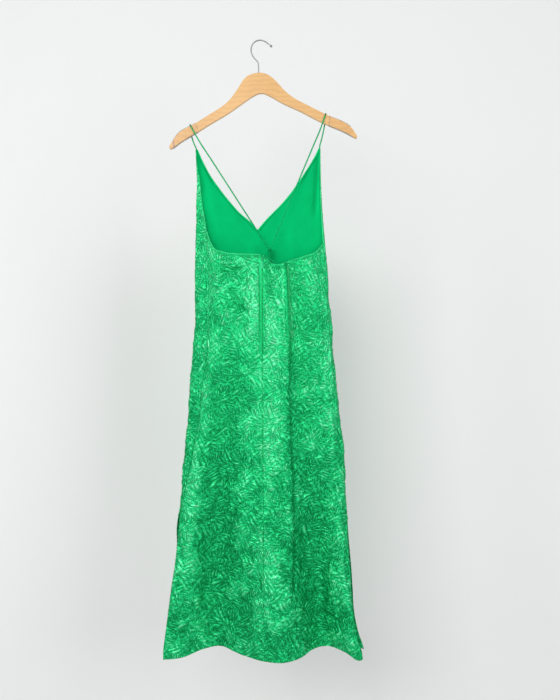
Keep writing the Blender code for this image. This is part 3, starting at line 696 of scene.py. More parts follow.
frontCreases = (
    (-140, -300, -120, -430, 4, 4, 5, 1.2),
    (-12, -458, -60, -520, -4, 4, 4, 1.4),
    (-4, -458, 44, -525, 4, 4, 4, 1.4),
    (-10, -462, -30, -560, -4, 4, 5, 1.3),
    (-2, -462, 20, -570, 4, 4, 5, 1.3),
    (-146, -470, -90, -540, 4, 4, 5, 1.6),
    (-146, -500, -100, -600, 5, 4, 5, 1.4),
    (144, -490, 92, -560, -4, 4, 5, 1.6),
    (146, -520, 104, -630, -5, 4, 5, 1.4),
    (132, -300, 112, -430, -4, 4, 5, 1.2),
    (-60, -640, -82, -980, -5, 9, 10, 1.8),
    (10, -600, 26, -1000, 6, 10, 9, 1.8),
    (58, -700, 64, -1100, 5, 9, 9, -1.6),
    (-130, -760, -150, -1180, -4, 10, 10, 2),
    (140, -760, 168, -1200, 4, 10, 10, 2),
    (-30, -1040, -60, -1430, -5, 14, 14, -2.4),
    (40, -1080, 64, -1430, 5, 14, 13, 2.2),
    (120, -1100, 150, -1430, 4, 13, 14, -2.2),
    (-150, -1150, -186, -1430, -3, 12, 12, 2),
)


def columnsOf(table):
    # each named column as an array, in the order of the first
    rows = np.array(sorted(table["rows"]), float)
    return dict(zip(table["columns"], rows.T))


def curveThrough(knots, values, at):
    # a smooth curve through the knots, level beyond its ends
    at = np.clip(at, knots[0], knots[-1])
    slopes = np.gradient(values, knots)
    i = np.clip(np.searchsorted(knots, at) - 1, 0, len(knots) - 2)
    span = knots[i + 1] - knots[i]
    s = (at - knots[i]) / span
    rise = values[i + 1] - values[i]
    start, end = slopes[i] * span, slopes[i + 1] * span
    squared = 3 * rise - 2 * start - end
    cubed = start + end - 2 * rise
    return values[i] + s * (start + s * (squared + s * cubed))


def eased(s):
    s = np.clip(s, 0.0, 1.0)
    return s * s * (3 - 2 * s)


sections = columnsOf({"columns": form["columns"], "rows": form["sections"]})
vLine = columnsOf(vEdge)
neckLine = columnsOf(backNeck)
hemLine = {"back": columnsOf(backHem), "front": columnsOf(frontHem)}


def sectionAt(column, z):
    return curveThrough(sections["height"], sections[column], z)


def foldsAt(table, x, z):
    total = np.zeros(np.broadcast(x, z).shape)
    for xTop, zTop, xLow, zLow, bow, leftWidth, rightWidth, raised in table:
        length = math.hypot(xLow - xTop, zLow - zTop)
        alongX, alongZ = (xLow - xTop) / length, (zLow - zTop) / length
        s = ((x - xTop) * alongX + (z - zTop) * alongZ) / length
        off = (x - xTop) * -alongZ + (z - zTop) * alongX
        off = off - bow * 4 * np.clip(s, 0, 1) * (1 - np.clip(s, 0, 1))
        width = np.where(off < 0, leftWidth, rightWidth)
        ends = eased(s / 0.12 + 0.5) * eased((1 - s) / 0.25)
        total = total + raised * ends * np.exp(-((off / width) ** 2))
    return total


def ringPoint(q, z):
    # q runs round the dress: 0 to 1 across the front from left to right, 0 to -1 across the back
    q, z = np.broadcast_arrays(np.asarray(q, float), np.asarray(z, float))
    turn = np.mod(q, 2.0)
    onFront = turn <= 1.0
    across = np.where(onFront, turn, 2.0 - turn)
    left, right = sectionAt("left", z), sectionAt("right", z)
    part = 0.5 - 0.5 * np.cos(math.pi * across)
    x = left + (right - left) * part
    bulge = np.sin(math.pi * across) ** form["roundness"]
    flare = eased((form["flareStart"] - z) / (form["flareStart"] - form["flareEnd"]))
    hemDepth = np.where(
        onFront,
        curveThrough(hemLine["front"]["part"], hemLine["front"]["depth"], part),
        curveThrough(hemLine["back"]["part"], hemLine["back"]["depth"], part),
    )
    stand = np.where(onFront, sectionAt("far", z), -sectionAt("near", z))
    hang = sectionAt("side", z) + stand * bulge
    y = hang + (hemDepth - hang) * flare
    out = np.where(onFront, 1.0, -1.0)
    for side, distance in (("left", part), ("right", 1 - part)):
        top = form["slitTop"][side]
        opened = eased((top - z) / (top - form["flareEnd"]))
        reach = np.exp(-((distance / form["slitReach"]) ** 2))
        y = y + out * form["slitSpread"][side] * opened * reach
    raised = np.where(onFront, foldsAt(frontFolds, x, z), foldsAt(backFolds, x, z))
    y = y + out * raised * bulge
    return np.stack([x, y, z], axis=-1)


def ringNormal(q, z):
    roundIt = ringPoint(q + 0.004, z) - ringPoint(q - 0.004, z)
    up = ringPoint(q, z + 2.0) - ringPoint(q, z - 2.0)
    out = np.cross(up, roundIt)
    return out / np.linalg.norm(out, axis=-1, keepdims=True)


def ringSpeed(q, z):
    step = ringPoint(q + 0.002, z) - ringPoint(q - 0.002, z)
    return np.linalg.norm(step, axis=-1) / 0.004


def acrossAt(x, z):
    left = sectionAt("left", z)
    width = sectionAt("right", z) - left
    return np.arccos(np.clip(1 - 2 * (x - left) / width, -1, 1)) / math.pi


def wrapAcross(side, z):
    width = sectionAt("right", z) - sectionAt("left", z)
    wrap = sectionAt(side + "Wrap", z)
    return np.arccos(np.clip(1 - 2 * wrap / width, -1, 1)) / math.pi


def centreBack(z):
    top = form["underarm"]["left"]
    down = np.clip((top - z) / (top - form["flareEnd"]), 0, 1)
    return form["centreTop"] + (form["centreLow"] - form["centreTop"]) * down


def centreGap(z):
    half = form["seamGap"] / 2
    fromLow = z - form["zipTop"] + form["mouthHeight"]
    mouth = np.clip(fromLow / form["mouthHeight"], 0, 1)
    return half + (form["mouthHalf"] - half) * mouth


def pleatLine(z):
    xTop, zTop, xLow, zLow, bow = backFolds[0][:5]
    s = np.clip((zTop - z) / (zTop - zLow), 0, 1)
    return xTop + (xLow - xTop) * s + bow * 4 * s * (1 - s)


def spreadOver(stations, counts):
    # values evenly spaced between stations, counts[i] steps in each stretch
    rows = [stations[0]]
    for low, high, count in zip(stations, stations[1:], counts):
        rows += [low + (high - low) * step / count for step in range(1, count + 1)]
    return np.array(rows)


# Crushing: seeded creases in the cloth's own flat sizes.

crushing = {
    "directions": 6,
    "sharpness": 8.0,  # how suddenly one direction gives way to the next
    "levels": (0.35, 0.22),  # what counts as flat, for the sharp creases and the rounded ones
    "softShare": 0.15,  # how much rounded folding goes with the sharp
    "drift": (34.0, 2.5),  # size and reach of the bending of every crease
    # length, width and depth of the creases, and how wide an area one direction rules
    "layers": ((62.0, 27.0, 1.9, 54.0), (31.0, 12.0, 1.6, 36.0), (19.0, 6.8, 1.15, 25.2)),
    "swell": (58.0, 2.2),  # size and depth of the slow unevenness under them
}


class Field:
    # smooth seeded noise over a plane, about -1 to 1
    def __init__(self, seed):
        self.angles = np.random.default_rng(seed).random((97, 97)) * 2 * math.pi

    def at(self, u, v):
        i, j = np.floor(u).astype(int), np.floor(v).astype(int)
        fu, fv = u - i, v - j
        size = len(self.angles)

        def corner(du, dv):
            angle = self.angles[(i + du) % size, (j + dv) % size]
            return np.cos(angle) * (fu - du) + np.sin(angle) * (fv - dv)

        su = fu ** 3 * (fu * (fu * 6 - 15) + 10)
        sv = fv ** 3 * (fv * (fv * 6 - 15) + 10)
        low = corner(0, 0) * (1 - su) + corner(1, 0) * su
        high = corner(0, 1) * (1 - su) + corner(1, 1) * su
        return (low * (1 - sv) + high * sv) * 1.5

    def facets(self, u, v):
        # roofs over the cells of scattered points: flat faces between straight sharp valleys
        i, j = np.floor(u).astype(int), np.floor(v).astype(int)
        size = len(self.angles)
        first = np.full(u.shape, 9.0)
        second = np.full(u.shape, 9.0)
        for di in (-1, 0, 1):
            for dj in (-1, 0, 1):
                turn = self.angles[(i + di) % size, (j + dj) % size]
                gapU = i + di + 0.5 + 0.48 * np.cos(turn) - u
                gapV = j + dj + 0.5 + 0.48 * np.sin(turn) - v
                gap = gapU ** 2 + gapV ** 2
                second = np.minimum(second, np.maximum(first, gap))
                first = np.minimum(first, gap)
        return np.minimum(np.sqrt(second) - np.sqrt(first), 0.75)


def crushedAt(u, v, seed):
    # sharp creases in patches of differing direction, bent and uneven, in millimetres
    size, reach = crushing["drift"]
    bentU = u + Field(seed).at(u / size, v / size) * reach
    bentV = v + Field(seed + 1).at(u / size, v / size) * reach
    total = np.zeros(u.shape)
    weight = np.zeros(u.shape)
    count, layers = crushing["directions"], crushing["layers"]
    sharpLevel, softLevel = crushing["levels"]
    for k in range(count):
        angle = math.pi * (k + 0.35 * math.sin(seed + 2.1 * k)) / count
        along = bentU * math.cos(angle) + bentV * math.sin(angle)
        off = bentV * math.cos(angle) - bentU * math.sin(angle)
        for n, (length, width, depth, area) in enumerate(layers):
            here = Field(seed + 10 + 7 * n + k).at(u / area, v / area)
            patch = np.exp(crushing["sharpness"] * here)
            pressed = Field(seed + 40 + 10 * n + k)
            sharp = pressed.facets(along / length, off / width) - sharpLevel
            soft = softLevel - np.abs(pressed.at(along / length, off / width))
            total = total + depth * patch * (sharp + crushing["softShare"] * soft)
            weight = weight + patch / len(layers)
    slow, deep = crushing["swell"]
    swell = Field(seed + 90).at(u / slow, v / slow) * deep
    return total / weight + swell


# Cloth meshes.

def facesOf(index):
    quads = np.stack([index[:-1, :-1], index[:-1, 1:], index[1:, 1:], index[1:, :-1]], axis=-1)
    return quads.reshape(-1, 4)


def edgesOf(index):
    # the sides of every third row's and column's faces, each with the two points along it
    def runs(lines):
        width = lines.shape[1]
        return np.stack([lines[:, k:width - 3 + k:3] for k in range(4)], axis=-1)

    rows, columns = runs(index[::3]), runs(index[:, ::3].T)
    sides = (rows[:-1], rows[1:, :, ::-1], columns[1:], columns[:-1, :, ::-1])
    return np.concatenate([side.reshape(-1, 4) for side in sides])


def meshPiece(name, points, faces, *kinds, outwards=False):
    # a new mesh from points in millimetres, on an object of its own
    mesh = bpy.data.meshes.new(name)
    mesh.from_pydata((points * mm).tolist(), [], faces)
    if outwards:
        shape = bmesh.new()
        shape.from_mesh(mesh)
        bmesh.ops.recalc_face_normals(shape, faces=shape.faces)
        shape.to_mesh(mesh)
        shape.free()
    for kind in kinds:
        mesh.materials.append(finishes[kind])
    mesh.shade_smooth()
    made = bpy.data.objects.new(name, mesh)
    scene.collection.objects.link(made)
    return made


def tellCloth(mesh, flat, **told):
    # the place on the flat cloth at each corner, and numbers at each point
    corners = np.empty(len(mesh.loops), np.int32)
    mesh.loops.foreach_get("vertex_index", corners)
    mesh.uv_layers.new(name="cloth").data.foreach_set("uv", (flat[corners] * mm).ravel())
    for name, values in told.items():
        held = mesh.attributes.new(name, "FLOAT", "POINT")
        held.data.foreach_set("value", values.astype(np.float32))


def clothShell(name, grids, sheets, finish, inside, turned=False):
    # a closed thin shell: a fine outer sheet, an inner one a third as fine, and the rims that
    # join them. Each grid has its sheet: outer and inner points, flat places, the painted light
    # and shade that follow the relief, and calm.
    # turned is for grids whose faces run the other way round
    outer, inner, flat, relief, calm = (
        np.concatenate([part.reshape(-1, *part.shape[2:]) for part in parts])
        for parts in zip(*sheets)
    )
    fine = np.concatenate([facesOf(grid) for grid in grids])
    coarse = np.concatenate([facesOf(grid[::3, ::3]) for grid in grids])
    edges = np.concatenate([edgesOf(grid) for grid in grids])
    if turned:
        fine, coarse, edges = fine[:, ::-1], coarse[:, ::-1], edges[:, ::-1]
    count = len(outer)
    usedOuter, usedInner = np.unique(fine), np.unique(coarse)
    outerNumber, innerNumber = np.full(count, -1), np.full(count, -1)
    outerNumber[usedOuter] = np.arange(len(usedOuter))
    innerNumber[usedInner] = np.arange(len(usedInner)) + len(usedOuter)
    starts, ends = edges[:, 0], edges[:, 3]
    lone = edges[~np.isin(starts * count + ends, ends * count + starts)]
    rims = np.concatenate(
        [outerNumber[lone[:, ::-1]], innerNumber[lone[:, :1]], innerNumber[lone[:, 3:]]], axis=1
    )
    faces = outerNumber[fine].tolist() + innerNumber[coarse[:, ::-1]].tolist() + rims.tolist()

    def ofBoth(outside, within):
        return np.concatenate([outside[usedOuter], within[usedInner]])

    made = meshPiece(name, ofBoth(outer, inner), faces, finish, inside)
    sides = np.zeros(len(faces), np.int32)
    sides[len(fine):len(fine) + len(coarse)] = 1
    made.data.polygons.foreach_set("material_index", sides)
    tellCloth(
        made.data, ofBoth(flat, flat), relief=ofBoth(relief, relief), calm=ofBoth(calm, calm)
    )
    return made


def lowestNear(lift, reach=3):
    # the least of the values within reach, so that the inner sheet stays under the outer one
    padded = np.pad(lift, reach, mode="edge")
    windows = np.lib.stride_tricks.sliding_window_view(padded, (2 * reach + 1, 2 * reach + 1))
    return windows.min(axis=(2, 3))


def belong(piece, body, slot, *replaced):
    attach(piece, body)
    if replaced:
        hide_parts(*replaced)
    return piece


def flatAcross(points):
    # flat distance along each row, from its first point and from its last
    steps = np.linalg.norm(np.diff(points, axis=1), axis=-1)
    along = np.concatenate([np.zeros((len(points), 1)), np.cumsum(steps, axis=1)], axis=1)
    return along, along[:, -1:] - along


panels = {
    "wall": 0.7,
    "hemDepth": 8.0,
    "hemExtra": 0.5,  # how much further in the turned hem reaches
    "crushRange": (-520.0, 900.0),  # where the crushing starts to change, and over what height
    # how the painted light and shade of the crushing and creases is brought into 0 to 1: spread
    # and middle
    "toneRange": (3.4, 0.45),
    # what is left of the crushing at each sewn edge, and how far off it is all there
    "quiet": {
        "seam": (0.05, 7.0), "lips": (0.08, 5.0), "centre": (0.40, 4.0), "neck": (0.35, 10.0),
        "v": (0.10, 10.0), "hem": (0.40, 9.0),
    },
    "pressedGain": 1.4,  # how much sooner the pressed creases are all there
    "pressedShare": 0.5,  # how much the pressed creases add to the painted light and shade
}


def quietBy(edge, distance):
    least, reach = panels["quiet"][edge]
    return least + (1 - least) * eased(distance / reach)


def ridges(rows, distance):
    # rounded ridges along a line: how high, how far from it, half width
    return sum(high * np.exp(-((distance - off) / width) ** 2) for high, off, width in rows)


def crushedPanel(crush, seed, u, z, quiet):
    atTop, atHem = crush
    start, height = panels["crushRange"]
    down = np.clip((start - z) / height, 0, 1)
    return crushedAt(u, z, seed) * (atTop + (atHem - atTop) * down) * quiet


def pressedPanel(folds, x, z, quiet):
    return foldsAt(folds, x, z) * np.clip(quiet * panels["pressedGain"], 0, 1)


def panelSheet(points, normals, u, z, hem, lift, tone, calm):
    half = panels["wall"] / 2
    turned = panels["hemExtra"] * eased((panels["hemDepth"] - (z - hem)) / 1.5 + 0.5)
    spread, level = panels["toneRange"]
    return (
        points + normals * (lift + half)[..., None],
        points + normals * (lowestNear(lift) - half - turned)[..., None],
        np.stack([u, z], axis=-1),
        np.clip(tone / spread + level, 0, 1),
        calm,
    )


backPanels = {
    "rows": (6, 507, 6),
    "edgeRows": 9.0,
    "firstHeights": (-500.0, -1455.0),  # of the neck and the hem, before they are found
    "columns": {"left": (116, 4, 6), "right": (6, 28, 6, 8, 93)},
    "lips": (3.2, 10.0),  # where columns run along the zip
    "pleat": (-8.0, 0.0, 9.0),  # and along the pleat
    "seed": {"left": 3, "right": 211},
    "crush": (0.80, 1.55),  # at the top and at the hem
    # what lies on the cloth: x, half width, lower end, and how flat it presses the cloth
    "pull": (3.0, 6.5, -553.0, 0.9),
    "tie": (24.0, 17.0, -541.0, 0.85),
    "underFade": 6.0,
    "pullShade": 1.1,
    "lipWidth": 5.5,
    "lipEnd": {"left": 4.5, "right": 1.5},
    "lipFade": 3.0,
    # the zip's left lip lies over its right one
    "lip": {"left": ((1.8, 0.0, 1.3), (-0.8, 7.4, 1.8)), "right": ((-0.9, 0.0, 2.2),)},
    # painted highlight along the left lip's edge, painted shade beside it, and painted shadow
    # along the right lip under the left one
    "lipLightAndShade": {"left": ((2.8, 0.3, 1.1), (-1.9, 4.8, 2.6)), "right": ((-4.0, 0.0, 3.0),)},
    "centreSeam": ((-0.12, 0.0, 1.1),),
    "sideSeam": ((-0.55, 0.0, 1.4), (0.25, 4.0, 2.0)),
    "hemLine": ((-0.45, panels["hemDepth"], 1.1),),
    "neckLine": ((1.0, 4.2, 2.0),),
    "neckDip": (1.3, 2.4),  # how deep the dip below the neck's edge is, and how much shade is painted into it
    "neckCalm": (3.0, 4.0),  # how far down the neck's edge is calm, and how far that fades
    # the pleat's pressed edge, where a shadow line is painted: x, height, lean, where it starts to
    # fade and over what height
    "pleatEdge": (56.5, -541.0, 0.037, -740.0, 70.0),
    # a painted shadow line on the pleat's edge, and painted light just left of it
    "pleatShadeAndLight": ((6.0, 0.0, 2.2), (-2.4, -4.6, 2.4)),
    "pleatCalm": ((0.85, 0.0, 2.6),),
}


def backGrid(stations, counts):
    share = spreadOver(range(len(stations)), counts)

    def acrossOf(z):
        values = np.stack([station(z) for station in stations], axis=-1)
        low = np.clip(share.astype(int), 0, len(stations) - 2)
        part = share - low
        picked = np.arange(len(share))
        return values[picked, low] * (1 - part) + values[picked, low + 1] * part

    def xOf(z):
        return ringPoint(-acrossOf(z), z)[..., 0]

    top, hem = (np.full(len(share), height) for height in backPanels["firstHeights"])
    for _ in range(8):
        top = curveThrough(neckLine["across"], neckLine["height"], xOf(top))
        left = sectionAt("left", hem)
        part = (xOf(hem) - left) / (sectionAt("right", hem) - left)
        hem = curveThrough(hemLine["back"]["part"], hemLine["back"]["height"], part)
    edge = backPanels["edgeRows"]
    z = spreadOver([hem, hem + edge, top - edge, top], backPanels["rows"])
    q = np.stack([-acrossOf(row) for row in z])
    return q, z, hem, top


def seamLeft(z):
    across = wrapAcross("left", z)
    return across + form["seamGap"] / 2 / ringSpeed(-across, z)


def seamRight(z):
    across = 1 - wrapAcross("right", z)
    return across - form["seamGap"] / 2 / ringSpeed(-across, z)


def zippedAt(z):
    return eased((z - form["zipEnd"]) / form["zipFade"])


def fromCentre(offset):
    def station(z):
        closed = form["seamShare"]
        gap = centreGap(z) * (closed + (1 - closed) * zippedAt(z))
        return acrossAt(centreBack(z) + math.copysign(1, offset) * gap + offset, z)
    return station


def fromPleat(offset):
    return lambda z: acrossAt(pleatLine(z) + offset, z)


def backRelief(side, x, u, z, seam, centre, hem, top):
    # crushing and creases, quiet where the cloth is sewn and under the zip's pull and the tie
    zipped = zippedAt(z)
    lips = quietBy("lips", centre - backPanels["lipWidth"])
    quiet = quietBy("seam", seam) * (lips * zipped + quietBy("centre", centre) * (1 - zipped))
    quiet = quiet * quietBy("neck", top - z) * quietBy("hem", z - hem)
    under, flattened = {}, {}
    for what in ("pull", "tie"):
        place, width, end, share = backPanels[what]
        over = np.exp(-((x - place) / width) ** 2) * eased((z - end) / backPanels["underFade"])
        under[what] = np.clip(over, 0, 1)
        flattened[what] = 1 - share * under[what]
    quiet = quiet * flattened["pull"]
    crushed = crushedPanel(backPanels["crush"], backPanels["seed"][side], u, z, quiet)
    pressed = pressedPanel(backCreases, x, z, quiet)
    # nothing stands up under the tie
    crushed, pressed = (
        np.where(part > 0, part * flattened["tie"], part) for part in (crushed, pressed)
    )
    lip = ridges(backPanels["lip"][side], centre)
    sewn = zipped * lip + (1 - zipped) * ridges(backPanels["centreSeam"], centre)
    sewn = sewn + ridges(backPanels["sideSeam"], seam) + ridges(backPanels["hemLine"], z - hem)
    neckLine = ridges(backPanels["neckLine"], top - z)
    neckDeep, neckPaintedShade = backPanels["neckDip"]
    onLip = eased((centre - backPanels["lipEnd"][side]) / backPanels["lipFade"])
    onLip = zipped * (1 - onLip)
    calmTo, calmFade = backPanels["neckCalm"]
    calm = 1 - (1 - onLip) * eased((top - z - calmTo) / calmFade)
    # the tone paints shade in the hollows of the crushing and creases and light on their ridges
    tone = crushed + panels["pressedShare"] * pressed
    tone = tone + zipped * ridges(backPanels["lipLightAndShade"][side], centre)
    # painted shade in the dip below the neck's edge, and painted shadow under the zip's pull
    tone = tone - neckPaintedShade * neckLine - backPanels["pullShade"] * under["pull"]
    # a painted shadow line along the pleat's pressed edge near the top, with painted light just
    # left of it
    edgeX, edgeZ, lean, start, fade = backPanels["pleatEdge"]
    fromEdge = x - edgeX + (z - edgeZ) * lean
    near = eased((z - start) / fade)
    tone = tone - near * ridges(backPanels["pleatShadeAndLight"], fromEdge)
    calm = np.maximum(calm, near * ridges(backPanels["pleatCalm"], fromEdge))
    return crushed + pressed + (sewn - neckDeep * neckLine), tone, calm


def buildBack(side):
    left = side == "left"
    lipLine, besideLip = backPanels["lips"]
    if left:
        stations = (
            seamLeft, fromCentre(-besideLip), fromCentre(-lipLine), fromCentre(-1e-6)
        )
    else:
        pleat = (fromPleat(offset) for offset in backPanels["pleat"])
        stations = (fromCentre(1e-6), fromCentre(lipLine), *pleat, seamRight)
    q, z, hem, top = backGrid(stations, backPanels["columns"][side])
    points, normals = ringPoint(q, z), ringNormal(q, z)
    first, last = flatAcross(points)
    seam, centre = (first, last) if left else (last, first)
    u = first + points[:, :1, 0]
    lift, tone, calm = backRelief(side, points[..., 0], u, z, seam, centre, hem, top)
    sheet = panelSheet(points, normals, u, z, hem, lift, tone, calm)
    index = np.arange(q.size).reshape(q.shape)
    piece = clothShell("back_" + side + "_satin", [index], [sheet], "satin", "wrongSide")
    belong(piece, "dress", "satin", "back_" + side)
    return piece, {"outer": sheet[0], "inner": sheet[1], "normals": normals, "hem": hem, "z": z}


frontPanel = {
    "half": 96,  # columns to each side of the middle
    "lowRows": (6, 354, 6),
    "hornRows": 75,
    "edgeRows": 8.0,
    "hemStart": -1448.0,
    "seed": 407,
    "crush": (0.80, 1.50),  # at the top and at the hem
    "linedQuiet": 0.25,  # how much less the lined part is crushed
    "linedFade": (6.0, 20.0),  # from how far below the lining's end, and over what height
    "linedLeast": -0.5,  # how deep a trough may be over the lining
    "seamFade": 8.0,
    "hornQuiet": (0.35, 160.0),  # what is left in the horns, and how far down it grows
    "seamDip": ((-0.6, 0.0, 1.5),),
    "hemDip": ((-0.4, panels["hemDepth"], 1.2),),
}


def frontEdge(side, z):
    closed = eased(1 - (form["slitTop"][side] - z) / form["slitClosing"])
    return wrapAcross(side, z) * closed


def frontGrids(half, lowRows, hornRows, floor=None):
    # one grid to each side of the middle, which above the V's bottom is the V's edge
    vX, vZ = form["vBottom"]
    share = np.linspace(0, 1, half + 1)
    grids = {}
    for side in ("left", "right"):
        left = side == "left"

        def rowAcross(z, middle):
            edge = frontEdge(side, z)
            trim = form["seamGap"] / 2 / ringSpeed(-edge if left else 1 + edge, z)
            if left:
                start = -edge + trim
                return start + (middle - start) * share
            end = 1 + edge - trim
            return middle + (end - middle) * share

        underarm = form["underarm"][side]
        under = underarm + (vZ - underarm) * (share if left else 1 - share)
        hem = np.full(half + 1, floor or frontPanel["hemStart"])
        if floor is None:
            for _ in range(6):
                across = np.clip(rowAcross(hem, acrossAt(vX, vZ)), 0, 1)
                part = 0.5 - 0.5 * np.cos(math.pi * across)
                hem = curveThrough(hemLine["front"]["part"], hemLine["front"]["height"], part)
        edge = frontPanel["edgeRows"]
        heights = spreadOver([hem, hem + edge, under - edge, under], lowRows)
        q = [rowAcross(row, acrossAt(vX, row)) for row in heights]
        up = np.linspace(0, 1, hornRows + 1)[1:, None]
        horn = heights[-1] + (form["point"][side] - heights[-1]) * up
        for row in horn:
            edgeX = curveThrough(vLine["height"], vLine[side], row)
            q.append(rowAcross(row, acrossAt(edgeX, row)))
        grids[side] = {
            "q": np.stack(q), "z": np.concatenate([heights, horn]), "hem": hem,
            "low": len(heights),
        }
    return grids


def joinedFront(grids):
    # one run of point numbers for both halves, sharing the middle column below the V
    index, used = {}, 0
    for side in ("left", "right"):
        q = grids[side]["q"]
        numbers = np.arange(q.size).reshape(q.shape) + used
        used += q.size
        if side == "right":
            low = grids[side]["low"]
            numbers[:low, 0] = index["left"][:low, -1]
        index[side] = numbers
    return index["left"], index["right"]


def laidFront(side, grid):
    # points and normals, the flat place across, and how far off the seam and the V's edge are
    points, normals = ringPoint(grid["q"], grid["z"]), ringNormal(grid["q"], grid["z"])
    first, last = flatAcross(points)
    if side == "left":
        u, seam, neck = points[:, -1:, 0] - last, first, last
    else:
        u, seam, neck = first + points[:, :1, 0], last, first
    inHorn = (np.arange(len(grid["z"])) >= grid["low"] - 1)[:, None]
    return points, normals, u, seam, np.where(inHorn, neck, 60.0)


def buildFront():
    grids = frontGrids(frontPanel["half"], frontPanel["lowRows"], frontPanel["hornRows"])
    sheets = []
    for side, grid in grids.items():
        q, z, hem = grid["q"], grid["z"], grid["hem"]
        points, normals, u, seam, neck = laidFront(side, grid)
        underarm = form["underarm"][side]
        below, fade = frontPanel["linedFade"]
        lined = eased((z - form["liningEnd"] + below) / fade)
        least, reach = frontPanel["hornQuiet"]
        narrow = eased((underarm - z) / reach + 1.0)
        quiet = quietBy("seam", seam) * quietBy("v", neck) * quietBy("hem", z - hem)
        quiet = quiet * (1 - frontPanel["linedQuiet"] * lined) * (least + (1 - least) * narrow)
        crushed = crushedPanel(frontPanel["crush"], frontPanel["seed"], u, z, quiet)
        pressed = pressedPanel(frontCreases, points[..., 0], z, quiet)
        pressed = np.where(np.mod(q, 2.0) <= 1.0, pressed, 0.0)
        pressed = np.where(lined > 0, np.maximum(pressed, frontPanel["linedLeast"]), pressed)
        dips = ridges(frontPanel["seamDip"], seam) * eased((underarm - z) / frontPanel["seamFade"])
        dips = dips + ridges(frontPanel["hemDip"], z - hem)
        # the tone paints shade in the hollows of the crushing and creases and light on their
        # ridges
        tone = crushed + panels["pressedShare"] * pressed
        sheet = panelSheet(
            points, normals, u, z, hem, crushed + pressed + dips, tone, np.zeros(q.shape)
        )
        sheets.append(sheet)
        grid.update(outer=sheet[0], points=points, normals=normals)
    piece = clothShell("front_satin", joinedFront(grids), sheets, "satin", "wrongSide", True)
    return belong(piece, "dress", "satin", "front_panel"), grids


liningPanel = {
    "half": 54,
    "lowRows": (3, 48, 3),
    "hornRows": 66,
    "depth": 4.4,  # how far inside the satin it lies
    "edgeDepth": 1.3,  # and at its sewn edges
    "edgeReach": 6.0,
    "wall": 0.4,
    "seed": 77,
    "unevenness": (40, 70, 0.25),  # size across, size up, depth
    # how much painted shade and light the lining's folds give it
    "foldShadeAndLight": 0.12,
    # painted highlight right at the V's edge and painted shade just inside it
    "rim": ((0.60, 0.0, 2.0), (-0.45, 4.6, 1.7)),
}
# its own soft folds, told as the satin's are; every row paints shade or light on the lining, and
# the troughs are only painted shade, the one at x 25 the shade between the knot and the lining
liningFolds = (
    (141, -290, 133, -430, 2, 5, 5, 2.2),
    (134, -280, 127, -430, 0, 5, 5, -3.2),
    (25, -496, 28, -531, 0, 6, 7, -6),
    (-155, -262, -136, -375, 0, 5, 6, -3.2),
    (-128, -330, -96, -500, -3, 8, 8, 1),
    (-20, -470, -34, -590, -3, 10, 12, 0.9),
    (60, -420, 72, -590, 3, 12, 10, 1),
)


def buildLining():
    look = liningPanel
    grids = frontGrids(look["half"], look["lowRows"], look["hornRows"], form["liningEnd"])
    wide, tall, deep = look["unevenness"]
    sheets = []
    for side, grid in grids.items():
        z = grid["z"]
        points, normals, u, armhole, neck = laidFront(side, grid)
        # the folds all stand inwards, away from the satin
        soft = foldsAt(liningFolds, points[..., 0], z) * (np.mod(grid["q"], 2.0) <= 1.0)
        inward = look["depth"] + np.clip(soft, 0, None)
        inward = inward + deep * Field(look["seed"]).at(u / wide, z / tall)
        near = eased(neck / look["edgeReach"]) * eased(armhole / look["edgeReach"])
        depth = look["edgeDepth"] + (inward - look["edgeDepth"]) * near
        half = look["wall"] / 2
        outer, inner = (
            points - normals * (depth + offset)[..., None] for offset in (-half, half)
        )
        # the tone is painted shade and light from the folds and the V's edge
        tone = np.clip(0.5 + look["foldShadeAndLight"] * soft + ridges(look["rim"], neck), 0, 1)
        sheets.append((outer, inner, np.stack([u, z], axis=-1), tone, np.zeros(z.shape)))
    piece = clothShell("front_lining_cloth", joinedFront(grids), sheets, "lining", "lining", True)
    return belong(piece, "dress", "lining", "front_lining")


def lengthsAlong(line):
    return np.concatenate([[0], np.cumsum(np.linalg.norm(np.diff(line, axis=0), axis=1))])


def tubeAlong(name, line, radius, finish, sides=10, uneven=0.0, seed=0):
    # a round cord along a line of points, its rings carried along without twisting
    line = np.asarray(line, float)
    steps = np.diff(line, axis=0)
    ways = np.concatenate([steps[:1], steps[:-1] + steps[1:], steps[-1:]])
    ways = ways / np.linalg.norm(ways, axis=1, keepdims=True)
    along = lengthsAlong(line)
    side = np.cross(ways[0], (0.3, 0.9, 0.2))
    side = side / np.linalg.norm(side)
    radii = np.full(len(line), float(radius))
    if uneven:
        middle = along * 0 + 0.5
        lumps = Field(seed).at(along / 3.4, middle) + 0.6 * Field(seed + 1).at(along / 9.0, middle)
        radii = radii * (1 + uneven * lumps)
    rings, angles = [], 2 * math.pi * np.arange(sides) / sides
    for place, way, wide in zip(line, ways, radii):
        side = side - way * np.dot(side, way)
        side = side / np.linalg.norm(side)
        other = np.cross(way, side)
        ring = np.cos(angles)[:, None] * side + np.sin(angles)[:, None] * other
        rings.append(place + wide * ring)
    points = np.concatenate(rings + [line[:1], line[-1:]])
    count = len(line)
    index = np.arange(count * sides).reshape(count, sides)
    index = np.concatenate([index, index[:, :1]], axis=1)
    faces = facesOf(index).tolist()
    start, end = count * sides, count * sides + 1
    for k in range(sides):
        n = (k + 1) % sides
        faces.append((start, k, n))
        faces.append((end, (count - 1) * sides + n, (count - 1) * sides + k))
    made = meshPiece(name, points, faces, finish, outwards=True)
    flat = np.zeros((len(points), 2))
    flat[:count * sides, 0] = np.tile(angles * float(np.mean(radii)), count)
    flat[:count * sides, 1] = np.repeat(along, sides)
    # a set shade value: on the satin's rolled edges it paints them lighter, a painted highlight
    # along them
    tellCloth(made.data, flat, relief=np.full(len(points), 0.75), calm=np.ones(len(points)))
    return made


